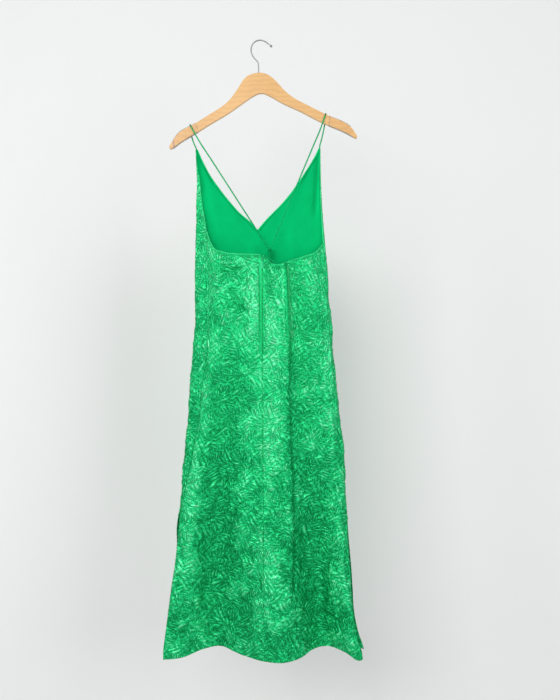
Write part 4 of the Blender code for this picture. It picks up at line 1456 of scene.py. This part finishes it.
def resampled(line, step):
    line = np.asarray(line, float)
    lengths = lengthsAlong(line)
    at = np.linspace(0, lengths[-1], max(4, int(lengths[-1] / step) + 1))
    return np.stack([curveThrough(lengths, line[:, k], at) for k in range(3)], axis=1)


rolledEdges = {"radius": 1.05, "neckRadius": 1.45, "uneven": 0.10, "step": 2.2, "sides": 8}


def rolled(name, line, radius=rolledEdges["radius"]):
    piece = tubeAlong(
        name, resampled(line, rolledEdges["step"]), radius, "satin", rolledEdges["sides"],
        rolledEdges["uneven"], seed=len(name),
    )
    return belong(piece, "dress", "satin")


stitching = {
    "pitch": 3.4,
    "length": 2.3,
    "radius": 0.16,
    "proud": 0.08,
    # along the stitch: share of its length, share of its radius
    "profile": ((-0.5, 0.02), (-0.38, 0.8), (0.0, 1.0), (0.38, 0.8), (0.5, 0.02)),
}


def stitchRow(name, line, normals):
    # one small slim stitch, made once and copied along the line
    lengths = lengthsAlong(line)
    count = max(2, int(lengths[-1] / stitching["pitch"]))
    at = (np.arange(count) + 0.5) * lengths[-1] / count

    def spread(values, where):
        return np.stack([np.interp(where, lengths, values[:, k]) for k in range(3)], axis=1)

    points, faces = [], []
    places, later, outs = spread(line, at), spread(line, at + 0.5), spread(normals, at)
    for place, after, out in zip(places, later, outs):
        way = after - place
        way = way / max(np.linalg.norm(way), 1e-9)
        out = out / np.linalg.norm(out)
        side = np.cross(way, out)
        start = len(points)
        for share, wide in stitching["profile"]:
            middle = place + out * stitching["proud"] + way * share * stitching["length"]
            rim = wide * stitching["radius"]
            for k in range(4):
                angle = math.pi / 4 + math.pi / 2 * k
                points.append(middle + rim * (math.cos(angle) * side + math.sin(angle) * out))
        last = len(points) - 4
        for a in range(start, last, 4):
            for k in range(4):
                n = (k + 1) % 4
                faces.append((a + k, a + n, a + 4 + n, a + 4 + k))
        faces.append((start + 3, start + 2, start + 1, start))
        faces.append((last, last + 1, last + 2, last + 3))
    made = meshPiece(name, np.array(points), faces, "thread", outwards=True)
    return belong(made, "dress", "cord")


def hemRow(grid):
    # the row of the sheet that lies nearest the hem's stitches
    rows = np.argmin(np.abs(grid["z"] - grid["hem"] - panels["hemDepth"]), axis=0)
    picked = np.arange(grid["z"].shape[1])
    return grid["outer"][rows, picked], grid["normals"][rows, picked]


backLeft, leftGrid = buildBack("left")
backRight, rightGrid = buildBack("right")
print("back panels made:", len(backLeft.data.polygons) + len(backRight.data.polygons), "faces")
front, frontGrid = buildFront()
lining = buildLining()
print("front and lining made:", len(front.data.polygons) + len(lining.data.polygons), "faces")


def buildEdges():
    made = {"front": [], "left": [], "right": []}
    backs = {"left": leftGrid, "right": rightGrid}
    for side, neck in backs.items():
        grid = frontGrid[side]
        low = grid["low"] - 1
        columns = {"v": -1, "armhole": 0} if side == "left" else {"v": 0, "armhole": -1}
        for what, column in columns.items():
            line = grid["points"][low:, column] - grid["normals"][low:, column] * 0.75
            made["front"].append(rolled("front_" + what + "_edge_" + side, line))
        line = (neck["outer"][-1] + neck["inner"][-1]) / 2
        made[side].append(rolled("back_neck_edge_" + side, line, rolledEdges["neckRadius"]))
    for side, grid in backs.items():
        made[side].append(stitchRow("hem_stitches_back_" + side, *hemRow(grid)))
    rows = zip(*(hemRow(frontGrid[side]) for side in backs))
    line, normals = (np.concatenate([left, right[1:]]) for left, right in rows)
    made["front"].append(stitchRow("hem_stitches_front", line, normals))
    return made


edges = buildEdges()
print("rolled edges and hem stitches made")


# Zip: tapes, coil, slider and pull.

zipParts = {
    "tapeWidth": 10.0,
    "tapeDepth": 1.3,
    "tapeWall": 0.5,
    "columns": 9,
    "rows": 90,
    "coilRadius": 0.75,
    "coilWire": 0.24,
    "coilPitch": 1.5,
    "coilStart": 3.0,  # above the zip's lower end
    "coilEnd": 1.5,  # below its upper end
}


def buildTapes():
    made = []
    for side, sign in (("left", -1), ("right", 1)):
        columns = zipParts["columns"] + 1
        z = np.linspace(form["zipEnd"], form["zipTop"] - 1.0, zipParts["rows"] + 1)[:, None]
        z = z * np.ones((1, columns))
        inset = np.linspace(0.2, zipParts["tapeWidth"], columns)[None, :]
        x = centreBack(z) + sign * (centreGap(z) + inset)
        x = x[:, ::sign]
        q = -acrossAt(x, z)
        points, normals = ringPoint(q, z), ringNormal(q, z)
        half = zipParts["tapeWall"] / 2
        sheet = (
            points - normals * (zipParts["tapeDepth"] - half),
            points - normals * (zipParts["tapeDepth"] + half),
            np.stack([x, z], axis=-1), np.full(q.shape, 0.5), np.zeros(q.shape),
        )
        index = np.arange(q.size).reshape(q.shape)
        tape = clothShell("zip_tape_" + side + "_twill", [index], [sheet], "tape", "tape")
        belong(tape, "dress", "zip_tape", "zip_tape_" + side)
        start, radius = form["zipEnd"] + zipParts["coilStart"], zipParts["coilRadius"]
        reach = form["zipTop"] - zipParts["coilEnd"] - start
        turns = int(reach / zipParts["coilPitch"])
        t = np.linspace(0, turns, turns * 8 + 1)
        height = start + t * zipParts["coilPitch"]
        q = -acrossAt(centreBack(height) + sign * centreGap(height), height)
        middle = ringPoint(q, height)
        middle = middle - ringNormal(q, height) * (zipParts["tapeDepth"] + 0.25 + radius)
        swing = 2 * math.pi * t + (math.pi if sign > 0 else 0)
        line = middle + np.stack(
            [sign * radius * (0.2 + 0.8 * np.cos(swing)), radius * np.sin(swing), t * 0], axis=-1
        )
        coil = tubeAlong("zip_coil_" + side, line, zipParts["coilWire"], "enamel", sides=4)
        belong(coil, "dress", "zip_tape")
        made.append(tape)
    return made


zipTapes = buildTapes()
print("zip tapes and coil made")


def applyPlace():
    bpy.ops.object.transform_apply(location=True, rotation=True, scale=True)


def selectFaces(obj, test):
    # in edit mode, selects the faces whose middle and normal pass the test
    shape = bmesh.from_edit_mesh(obj.data)
    for face in shape.faces:
        face.select_set(bool(test(face.calc_center_median(), face.normal)))
    shape.select_flush_mode()
    bmesh.update_edit_mesh(obj.data)


def selectEdges(obj, test):
    shape = bmesh.from_edit_mesh(obj.data)
    for edge in shape.edges:
        edge.select_set(bool(test(edge.verts[0].co, edge.verts[1].co)))
    shape.select_flush_mode()
    bmesh.update_edit_mesh(obj.data)


def editMode(kind, action=None):
    bpy.ops.object.mode_set(mode="EDIT")
    bpy.ops.mesh.select_mode(type=kind)
    if action:
        bpy.ops.mesh.select_all(action=action)


def objectMode():
    bpy.ops.object.mode_set(mode="OBJECT")


def drawOut(way):
    bpy.ops.mesh.extrude_region_move(TRANSFORM_OT_translate={"value": way})


def withModifier(obj, kind, **settings):
    modifier = obj.modifiers.new(kind.lower(), kind)
    for name, value in settings.items():
        setattr(modifier, name, value)
    bpy.ops.object.modifier_apply(modifier=modifier.name)


def bevelled(obj, width, segments=2, **settings):
    # width in millimetres
    withModifier(
        obj, "BEVEL", width=width * mm, segments=segments, limit_method="ANGLE", **settings
    )


def joinedTo(obj, *others):
    for other in others:
        other.select_set(True)
    obj.select_set(True)
    bpy.context.view_layer.objects.active = obj
    bpy.ops.object.join()


def finishMesh(obj, name, finish, smoothUnder=35):
    # place into the mesh, faces out, shaded smooth
    applyPlace()
    editMode("FACE", "SELECT")
    bpy.ops.mesh.normals_make_consistent(inside=False)
    objectMode()
    bpy.ops.object.shade_smooth_by_angle(angle=math.radians(smoothUnder))
    obj.name = name
    obj.data.name = name
    obj.data.materials.clear()
    obj.data.materials.append(finishes[finish])
    deselectAll()


def hingePlace():
    lowest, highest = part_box("zip_pull")
    x, y = (lowest.x + highest.x) / 2, (lowest.y + highest.y) / 2
    return Vector((x, y, highest.z - 0.5 * mm))


pullShape = {
    "width": 5.6,
    "eye": 2.6,
    "length": 25.0,
    "wall": 1.0,
    "edge": 0.22,
    # share of the length, half width there
    "belly": ((0.30, 2.5), (0.50, 3.4), (0.72, 4.2), (0.88, 3.6), (1.0, 1.2)),
    "thinning": 0.35,
}


def buildPull():
    # a ring with an eye, its foot drawn down into a drop
    hinge = hingePlace()
    deselectAll()
    wide = pullShape["width"] / 2
    top = hinge.z + pullShape["wall"] / 2 * mm
    x, y, z = hinge.x, hinge.y, top - wide * mm
    bpy.ops.mesh.primitive_circle_add(
        vertices=24, radius=wide * mm, fill_type="NGON", location=(x, y, z),
        rotation=(math.pi / 2, 0, 0),
    )
    pull = bpy.context.object
    applyPlace()
    editMode("FACE", "SELECT")
    bpy.ops.mesh.inset(thickness=(wide - pullShape["eye"] / 2) * mm, depth=0)
    bpy.ops.mesh.delete(type="FACE")
    # the lowest rim edges go down in steps, each step as wide as the drop is there
    bpy.ops.mesh.select_mode(type="EDGE")
    low = z - wide * 0.62 * mm

    def onFoot(a, b):
        reach = [Vector((v.x - x, 0, v.z - z)).length for v in (a, b)]
        return max(a.z, b.z) < low and min(reach) > wide * 0.98 * mm

    selectEdges(pull, onFoot)
    shape = bmesh.from_edit_mesh(pull.data)
    lastHeight = z - wide * mm
    lastWide = max(v.co.x - x for e in shape.edges if e.select for v in e.verts)
    for share, half in pullShape["belly"]:
        height = top - pullShape["length"] * share * mm
        drawOut((0, 0, height - lastHeight))
        bpy.ops.transform.resize(
            value=(half * mm / lastWide, 1, pullShape["thinning"]),
            center_override=(x, y, height),
        )
        lastHeight, lastWide = height, half * mm
    objectMode()
    withModifier(pull, "SOLIDIFY", thickness=pullShape["wall"] * mm, offset=0.0)
    bevelled(pull, pullShape["edge"])
    withModifier(pull, "SUBSURF", levels=1, render_levels=1)
    finishMesh(pull, "zip_pull_drop", "enamel")
    belong(pull, "zip_pull", "green_enamel", "zip_pull")


sliderShape = {
    "depth": 2.6,
    "foot": 0.72,  # how much narrower the lower end is
    "panel": (0.5, 0.15),  # the raised faces: how far in, how far out
    "edge": 0.45,
    "bridgeWidth": 1.4,
    "bridgeBar": 1.1,
    "bridgeRise": 2.2,
    "bridgeSink": 0.6,
    "bridgeEdge": 0.2,
    # share of the reach outwards, way down, turn after the step
    "bridgeSteps": (
        (-0.75, 0.0, 45), (-0.25, -1.0, 45), (0.0, -2.4, 0), (0.25, -1.0, 45), (0.75, 0.0, 45),
    ),
}


def block(place, size):
    bpy.ops.mesh.primitive_cube_add(size=1, location=place)
    made = bpy.context.object
    made.scale = size
    applyPlace()
    return made


def buildSlider():
    # body with rounded shoulders, and a bridge over the pull's bar
    lowest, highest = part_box("zip_slider")
    hinge = hingePlace()
    deselectAll()
    depth = sliderShape["depth"] * mm
    middle = ((lowest.x + highest.x) / 2, highest.y - depth / 2, hinge.z)
    body = block(middle, (highest.x - lowest.x, depth, highest.z - lowest.z))
    editMode("FACE", "DESELECT")
    selectFaces(body, lambda c, n: n.z < -0.9)
    bpy.ops.transform.resize(
        value=(sliderShape["foot"], 1, 1), center_override=(middle[0], middle[1], lowest.z)
    )
    selectFaces(body, lambda c, n: abs(n.y) > 0.9)
    inwards, outwards = sliderShape["panel"]
    bpy.ops.mesh.inset(thickness=inwards * mm, depth=outwards * mm)
    objectMode()
    bevelled(body, sliderShape["edge"], 3)
    # the bridge starts as a small block and is drawn over in steps like a handle
    bar = sliderShape["bridgeBar"] * mm
    far = highest.y - depth + sliderShape["bridgeSink"] * mm
    place = (middle[0], far, hinge.z + sliderShape["bridgeRise"] * mm)
    bridge = block(place, (sliderShape["bridgeWidth"] * mm, bar, bar))
    editMode("FACE")
    reach = far - lowest.y - bar / 2
    selectFaces(bridge, lambda c, n: n.y < -0.9)
    for share, down, turn in sliderShape["bridgeSteps"]:
        drawOut((0, reach * share, down * mm))
        if turn:
            shape = bmesh.from_edit_mesh(bridge.data)
            places = [v.co for v in shape.verts if v.select]
            centre = sum(places, Vector()) / len(places)
            bpy.ops.transform.rotate(
                value=math.radians(turn), orient_axis="X", center_override=centre
            )
    objectMode()
    bevelled(bridge, sliderShape["bridgeEdge"])
    joinedTo(body, bridge)
    finishMesh(body, "zip_slider_body", "enamel")
    belong(body, "dress", "green_enamel", "zip_slider")


buildPull()
buildSlider()
print("zip slider and pull made")


# Straps, knot and tie.

straps = {
    "radius": 1.6,
    "step": 1.5,
    "sides": 10,
    "uneven": 0.055,
    "lines": {
        # x over the arm, cover under it, front foot, back foot, end beside the knot, start
        "left": (-167.5, 1.1, (-149.5, -233.0), (-161.5, -236.0), (-2.2, 4.2), -153.4),
        "right": (155.5, 0.0, (145.0, -204.0), (151.5, -206.0), (1.5, 4.6), 141.0),
    },
    "startY": 9.4,
    "armHalf": 6.0,
    "overArm": 0.4,
    # the bend over the arm's edges: how far in, how much further in, how far down
    "bend": (2.0, 3.5, 1.6, 6.0),
}
knot = {
    "place": (22.3, -501.5),
    "restsAt": -516.0,  # the height where the cloth below carries it
    "proud": 2.5,
    "size": (3.2, 1.9, 3.9),
    "radius": 1.45,
    # the short stem under it: x, y and z from the knot's middle
    "stem": ((-1.0, 0.0, 3.0), (-1.1, -0.9, -2.0), (-0.9, -0.5, -7.0), (-0.4, 0.1, -12.0),
             (0.0, 0.6, -15.0)),
    "stemRadius": 1.1,
    "uneven": 0.05,
}
tie = {
    "radius": 1.45,
    "gap": 1.15,
    "step": 1.2,
    "uneven": 0.06,
    "line": ((9.0, -512.6), (15.5, -516.0), (22.5, -519.8), (30.0, -526.0), (37.5, -532.0)),
}
arms = {
    "thickness": 12.0,
    "chamfer": 2.4,
    # x, upper edge, lower edge
    "stations": (
        (-216.5, -251.5, -256.5), (-213.5, -246.5, -258), (-209, -239.5, -256),
        (-201, -227, -250.5), (-191.5, -217, -243), (-177, -208.5, -234),
        (-163, -201.5, -225.5), (-148.5, -193.5, -217.5), (-125, -178.5, -202),
        (-101, -164, -188), (-82, -150.5, -177), (-68, -136, -167.5),
        (-54, -115.5, -157.5), (-44, -98, -150.5), (-34, -85.5, -143.5),
        (-20, -79.5, -133.5), (-6, -76.5, -126), (6, -77, -124),
        (18, -81, -129.5), (32, -91.5, -137), (46, -107, -145.5),
        (60, -122.5, -152.5), (75, -134.5, -159.5), (94, -145.5, -167.5),
        (113, -154.5, -177.5), (132, -164.5, -188), (151, -173.5, -197),
        (170, -182.7, -205), (189, -190, -212.5), (203, -197, -219),
        (213, -204, -224.5), (220, -212, -229), (226, -222, -232.5),
        (229.5, -226.5, -231.5),
    ),
}
armTable = np.array(arms["stations"], float)


def armTop(x):
    return float(curveThrough(armTable[:, 0], armTable[:, 1], x))


def armLow(x):
    return float(curveThrough(armTable[:, 0], armTable[:, 2], x))


def backSurface(x, z):
    return float(ringPoint(-acrossAt(x, z), z)[1])


def strapLine(side, last):
    # up from the front's point, over the arm, and down the back to the knot
    x, cover, frontLow, backLow, _, pointX = straps["lines"][side]
    gap, radius = form["seamGap"], straps["radius"]
    reach = straps["armHalf"] + cover + 2 * gap + radius
    slope = (armTop(x + 3) - armTop(x - 3)) / 6
    top = armTop(x) + (cover + 2 * gap + radius) * math.hypot(1, slope) + straps["overArm"]
    cut, further, shallow, deep = straps["bend"]
    corner = reach - cut
    start, startY = form["point"][side], straps["startY"]
    line = [
        (pointX, startY, start - 3.0),
        (pointX, startY, start + 1.0),
        ((pointX + backLow[0]) / 2, startY, (start + backLow[1]) / 2),
        (backLow[0], reach, backLow[1]),
        (x, reach, top - deep),
        (x, corner, top - shallow),
        (x, corner - further, top),
        (x, further - corner, top),
    ]
    drop = top - frontLow[1]
    for down, out in ((shallow, corner), (deep, reach), (0.4 * drop, reach), (drop, reach)):
        line.append((x + (frontLow[0] - x) * down / drop, -out, top - down))
    foot = line[-1]
    for part in (0.2, 0.4, 0.6, 0.8, 1.0):
        line.append(tuple(a + (b - a) * part for a, b in zip(foot, last)))
    return line


def buildStraps():
    knotX, knotZ = knot["place"]
    knotY = backSurface(knotX, knot["restsAt"]) - knot["proud"]
    for seed, side in ((5, "left"), (6, "right")):
        endX, endZ = straps["lines"][side][4]
        line = strapLine(side, (knotX + endX, knotY, knotZ + endZ))
        cord = tubeAlong(
            "strap_" + side + "_cord", resampled(line, straps["step"]), straps["radius"], "cord",
            straps["sides"], straps["uneven"], seed,
        )
        belong(cord, "dress", "cord", "strap_" + side)
    # knot: both cords wound once round each other, over a short stem to the tie
    t = np.linspace(0, 2 * math.pi, 73)
    wide, deep, high = knot["size"]
    knotLine = np.stack([
        knotX + wide * (np.sin(t) + 0.55 * np.sin(2 * t)) * 0.85,
        knotY + deep * np.sin(3 * t) * 0.9,
        knotZ - 0.2 + high * (np.cos(t) - 0.55 * np.cos(2 * t)) * 0.72,
    ], axis=1)
    loops = tubeAlong("strap_knot_loops", knotLine, knot["radius"], "cord", 9, knot["uneven"], 31)
    belong(loops, "dress", "cord", "strap_knot")
    stemLine = resampled([(knotX + x, knotY + y, knotZ + z) for x, y, z in knot["stem"]], 1.0)
    stem = tubeAlong(
        "strap_knot_link", stemLine, knot["stemRadius"], "cord", 9, knot["uneven"], 33
    )
    belong(stem, "dress", "cord")
    tieLine = [(x, backSurface(x, z) - tie["gap"] - tie["radius"], z) for x, z in tie["line"]]
    bow = tubeAlong(
        "strap_tie_cord", resampled(tieLine, tie["step"]), tie["radius"], "cord", 9,
        tie["uneven"], 35,
    )
    belong(bow, "dress", "cord", "strap_tie")


buildStraps()
print("straps, knot and tie made")


# Hanger.

def modelStrip(stations, grown, thickness, chamfer):
    # a flat strip drawn out station by station, then given its thickness and soft edges
    first = 0.0004  # the strip's first short length

    def placeOf(station, shift=0.0):
        x, top, low = station
        return Vector((x * mm + shift, 0, (top + low) / 2 * mm))

    def heightOf(station):
        return (station[1] - station[2] + 2 * grown) * mm

    deselectAll()
    place, height = placeOf(stations[0], first), heightOf(stations[0])
    bpy.ops.mesh.primitive_plane_add(
        size=1, location=placeOf(stations[0], first / 2), rotation=(math.pi / 2, 0, 0)
    )
    strip = bpy.context.object
    strip.scale = (first, height, 1)
    applyPlace()
    editMode("EDGE", "DESELECT")
    edge = place.x - first / 4
    selectEdges(strip, lambda a, b: a.x > edge and b.x > edge)
    for station in stations[1:]:
        new, newHeight = placeOf(station), heightOf(station)
        drawOut(new - place)
        bpy.ops.transform.resize(value=(1, 1, newHeight / height), center_override=new)
        place, height = new, newHeight
    objectMode()
    withModifier(strip, "SOLIDIFY", thickness=(thickness + 2 * grown) * mm, offset=0.0)
    bevelled(strip, chamfer, angle_limit=math.radians(50))
    return strip


def buildHanger():
    strip = modelStrip(arms["stations"], 0.0, arms["thickness"], arms["chamfer"])
    withModifier(strip, "SUBSURF", levels=2, render_levels=2)
    finishMesh(strip, "hanger_arms_wood", "wood", 60)
    belong(strip, "dress", "wood", "hanger_arms")


sleeves = {
    "spans": {"left": (-208.0, -148.5), "right": (161.5, 219.0)},
    "slant": {"left": (-150.0, -28.0), "right": (163.0, 6.0)},  # x and lean of the inner end
    "stations": 15,
    "wall": 0.8,
    "clearance": 0.35,
    "chamfer": 2.7,
    "openEnds": 2.1,
}


def buildSleeves():
    # clear sleeves drawn over the arm's ends, the inner end cut at a slant
    for side, (low, high) in sleeves["spans"].items():
        places = np.linspace(low, high, sleeves["stations"]).tolist()
        stations = [(x, armTop(x), armLow(x)) for x in places]
        sleeve = modelStrip(
            stations, sleeves["clearance"], arms["thickness"], sleeves["chamfer"]
        )
        editMode("FACE", "DESELECT")
        start, end = (low + sleeves["openEnds"]) * mm, (high - sleeves["openEnds"]) * mm
        selectFaces(sleeve, lambda c, n: abs(n.x) > 0.6 and (c.x < start or c.x > end))
        bpy.ops.mesh.delete(type="FACE")
        bpy.ops.mesh.select_all(action="SELECT")
        cutX, lean = sleeves["slant"][side]
        inward = 1 if side == "left" else -1
        angle = math.radians(lean)
        bpy.ops.mesh.bisect(
            plane_co=(cutX * mm, 0, (armTop(cutX) + armLow(cutX)) / 2 * mm),
            plane_no=(inward * math.cos(angle), 0, -inward * math.sin(angle)),
            clear_outer=True,
        )
        objectMode()
        withModifier(sleeve, "SOLIDIFY", thickness=sleeves["wall"] * mm, offset=1.0)
        withModifier(sleeve, "SUBSURF", levels=1, render_levels=1)
        finishMesh(sleeve, "sleeve_" + side + "_clear", "clear", 60)
        belong(sleeve, "dress", "clear_plastic", "sleeve_" + side)


hook = {
    "radius": 1.45,
    "tipRadius": 2.9,
    "step": 1.3,
    "neck": (0.9, 0.85),  # the ball's neck: how long, and how much narrower
    "line": (
        (-4.6, -90.5), (-4.6, -76), (-4.8, -60), (-5.5, -52), (-10.6, -45.5),
        (-17, -38.5), (-20.8, -31), (-22.4, -22.5), (-21.4, -14), (-17.6, -6.6),
        (-11.6, -1.2), (-4.5, 1.4), (2.6, 1.5), (8.6, -0.4), (15, -4.2), (21, -8.6),
        (25.4, -12.4),
    ),
}


def buildHook():
    # bent wire: a curve with a round section, made a mesh, with a ball pressed on its end
    deselectAll()
    bpy.ops.curve.primitive_nurbs_path_add(location=(0, 0, 0))
    wire = bpy.context.object
    line = resampled([(x, 0.0, z) for x, z in hook["line"]], hook["step"])
    wire.data.splines.clear()
    spline = wire.data.splines.new("POLY")
    spline.points.add(len(line) - 1)
    for place, point in zip(spline.points, line):
        place.co = (*(point * mm), 1)
    wire.data.bevel_depth = hook["radius"] * mm
    wire.data.bevel_resolution = 5
    wire.data.use_fill_caps = True
    bpy.ops.object.convert(target="MESH")
    wire = bpy.context.object
    editMode("VERT", "SELECT")
    bpy.ops.mesh.remove_doubles(threshold=0.00001)
    objectMode()
    tipX, tipZ = hook["line"][-1]
    bpy.ops.mesh.primitive_uv_sphere_add(
        segments=32, ring_count=20, radius=hook["tipRadius"] * mm,
        location=(tipX * mm, 0, tipZ * mm),
    )
    tip = bpy.context.object
    applyPlace()
    editMode("FACE", "DESELECT")
    # a short neck where the ball grips the wire
    way = Vector((hook["line"][-2][0] - tipX, 0, hook["line"][-2][1] - tipZ)).normalized()
    centre = Vector((tipX, 0, tipZ)) * mm
    length, narrower = hook["neck"]
    selectFaces(tip, lambda c, n: (c - centre).normalized().dot(way) > 0.86)
    drawOut(way * (length * mm))
    bpy.ops.transform.resize(
        value=(narrower, narrower, narrower), center_override=centre + way * 0.0035
    )
    objectMode()
    joinedTo(wire, tip)
    finishMesh(wire, "hanger_hook_wire", "steel", 50)
    belong(wire, "dress", "steel", "hanger_hook")


buildHanger()
buildSleeves()
buildHook()
print("hanger, sleeves and hook made")


# Bring the scene up to date.


scene.view_layers[0].update()
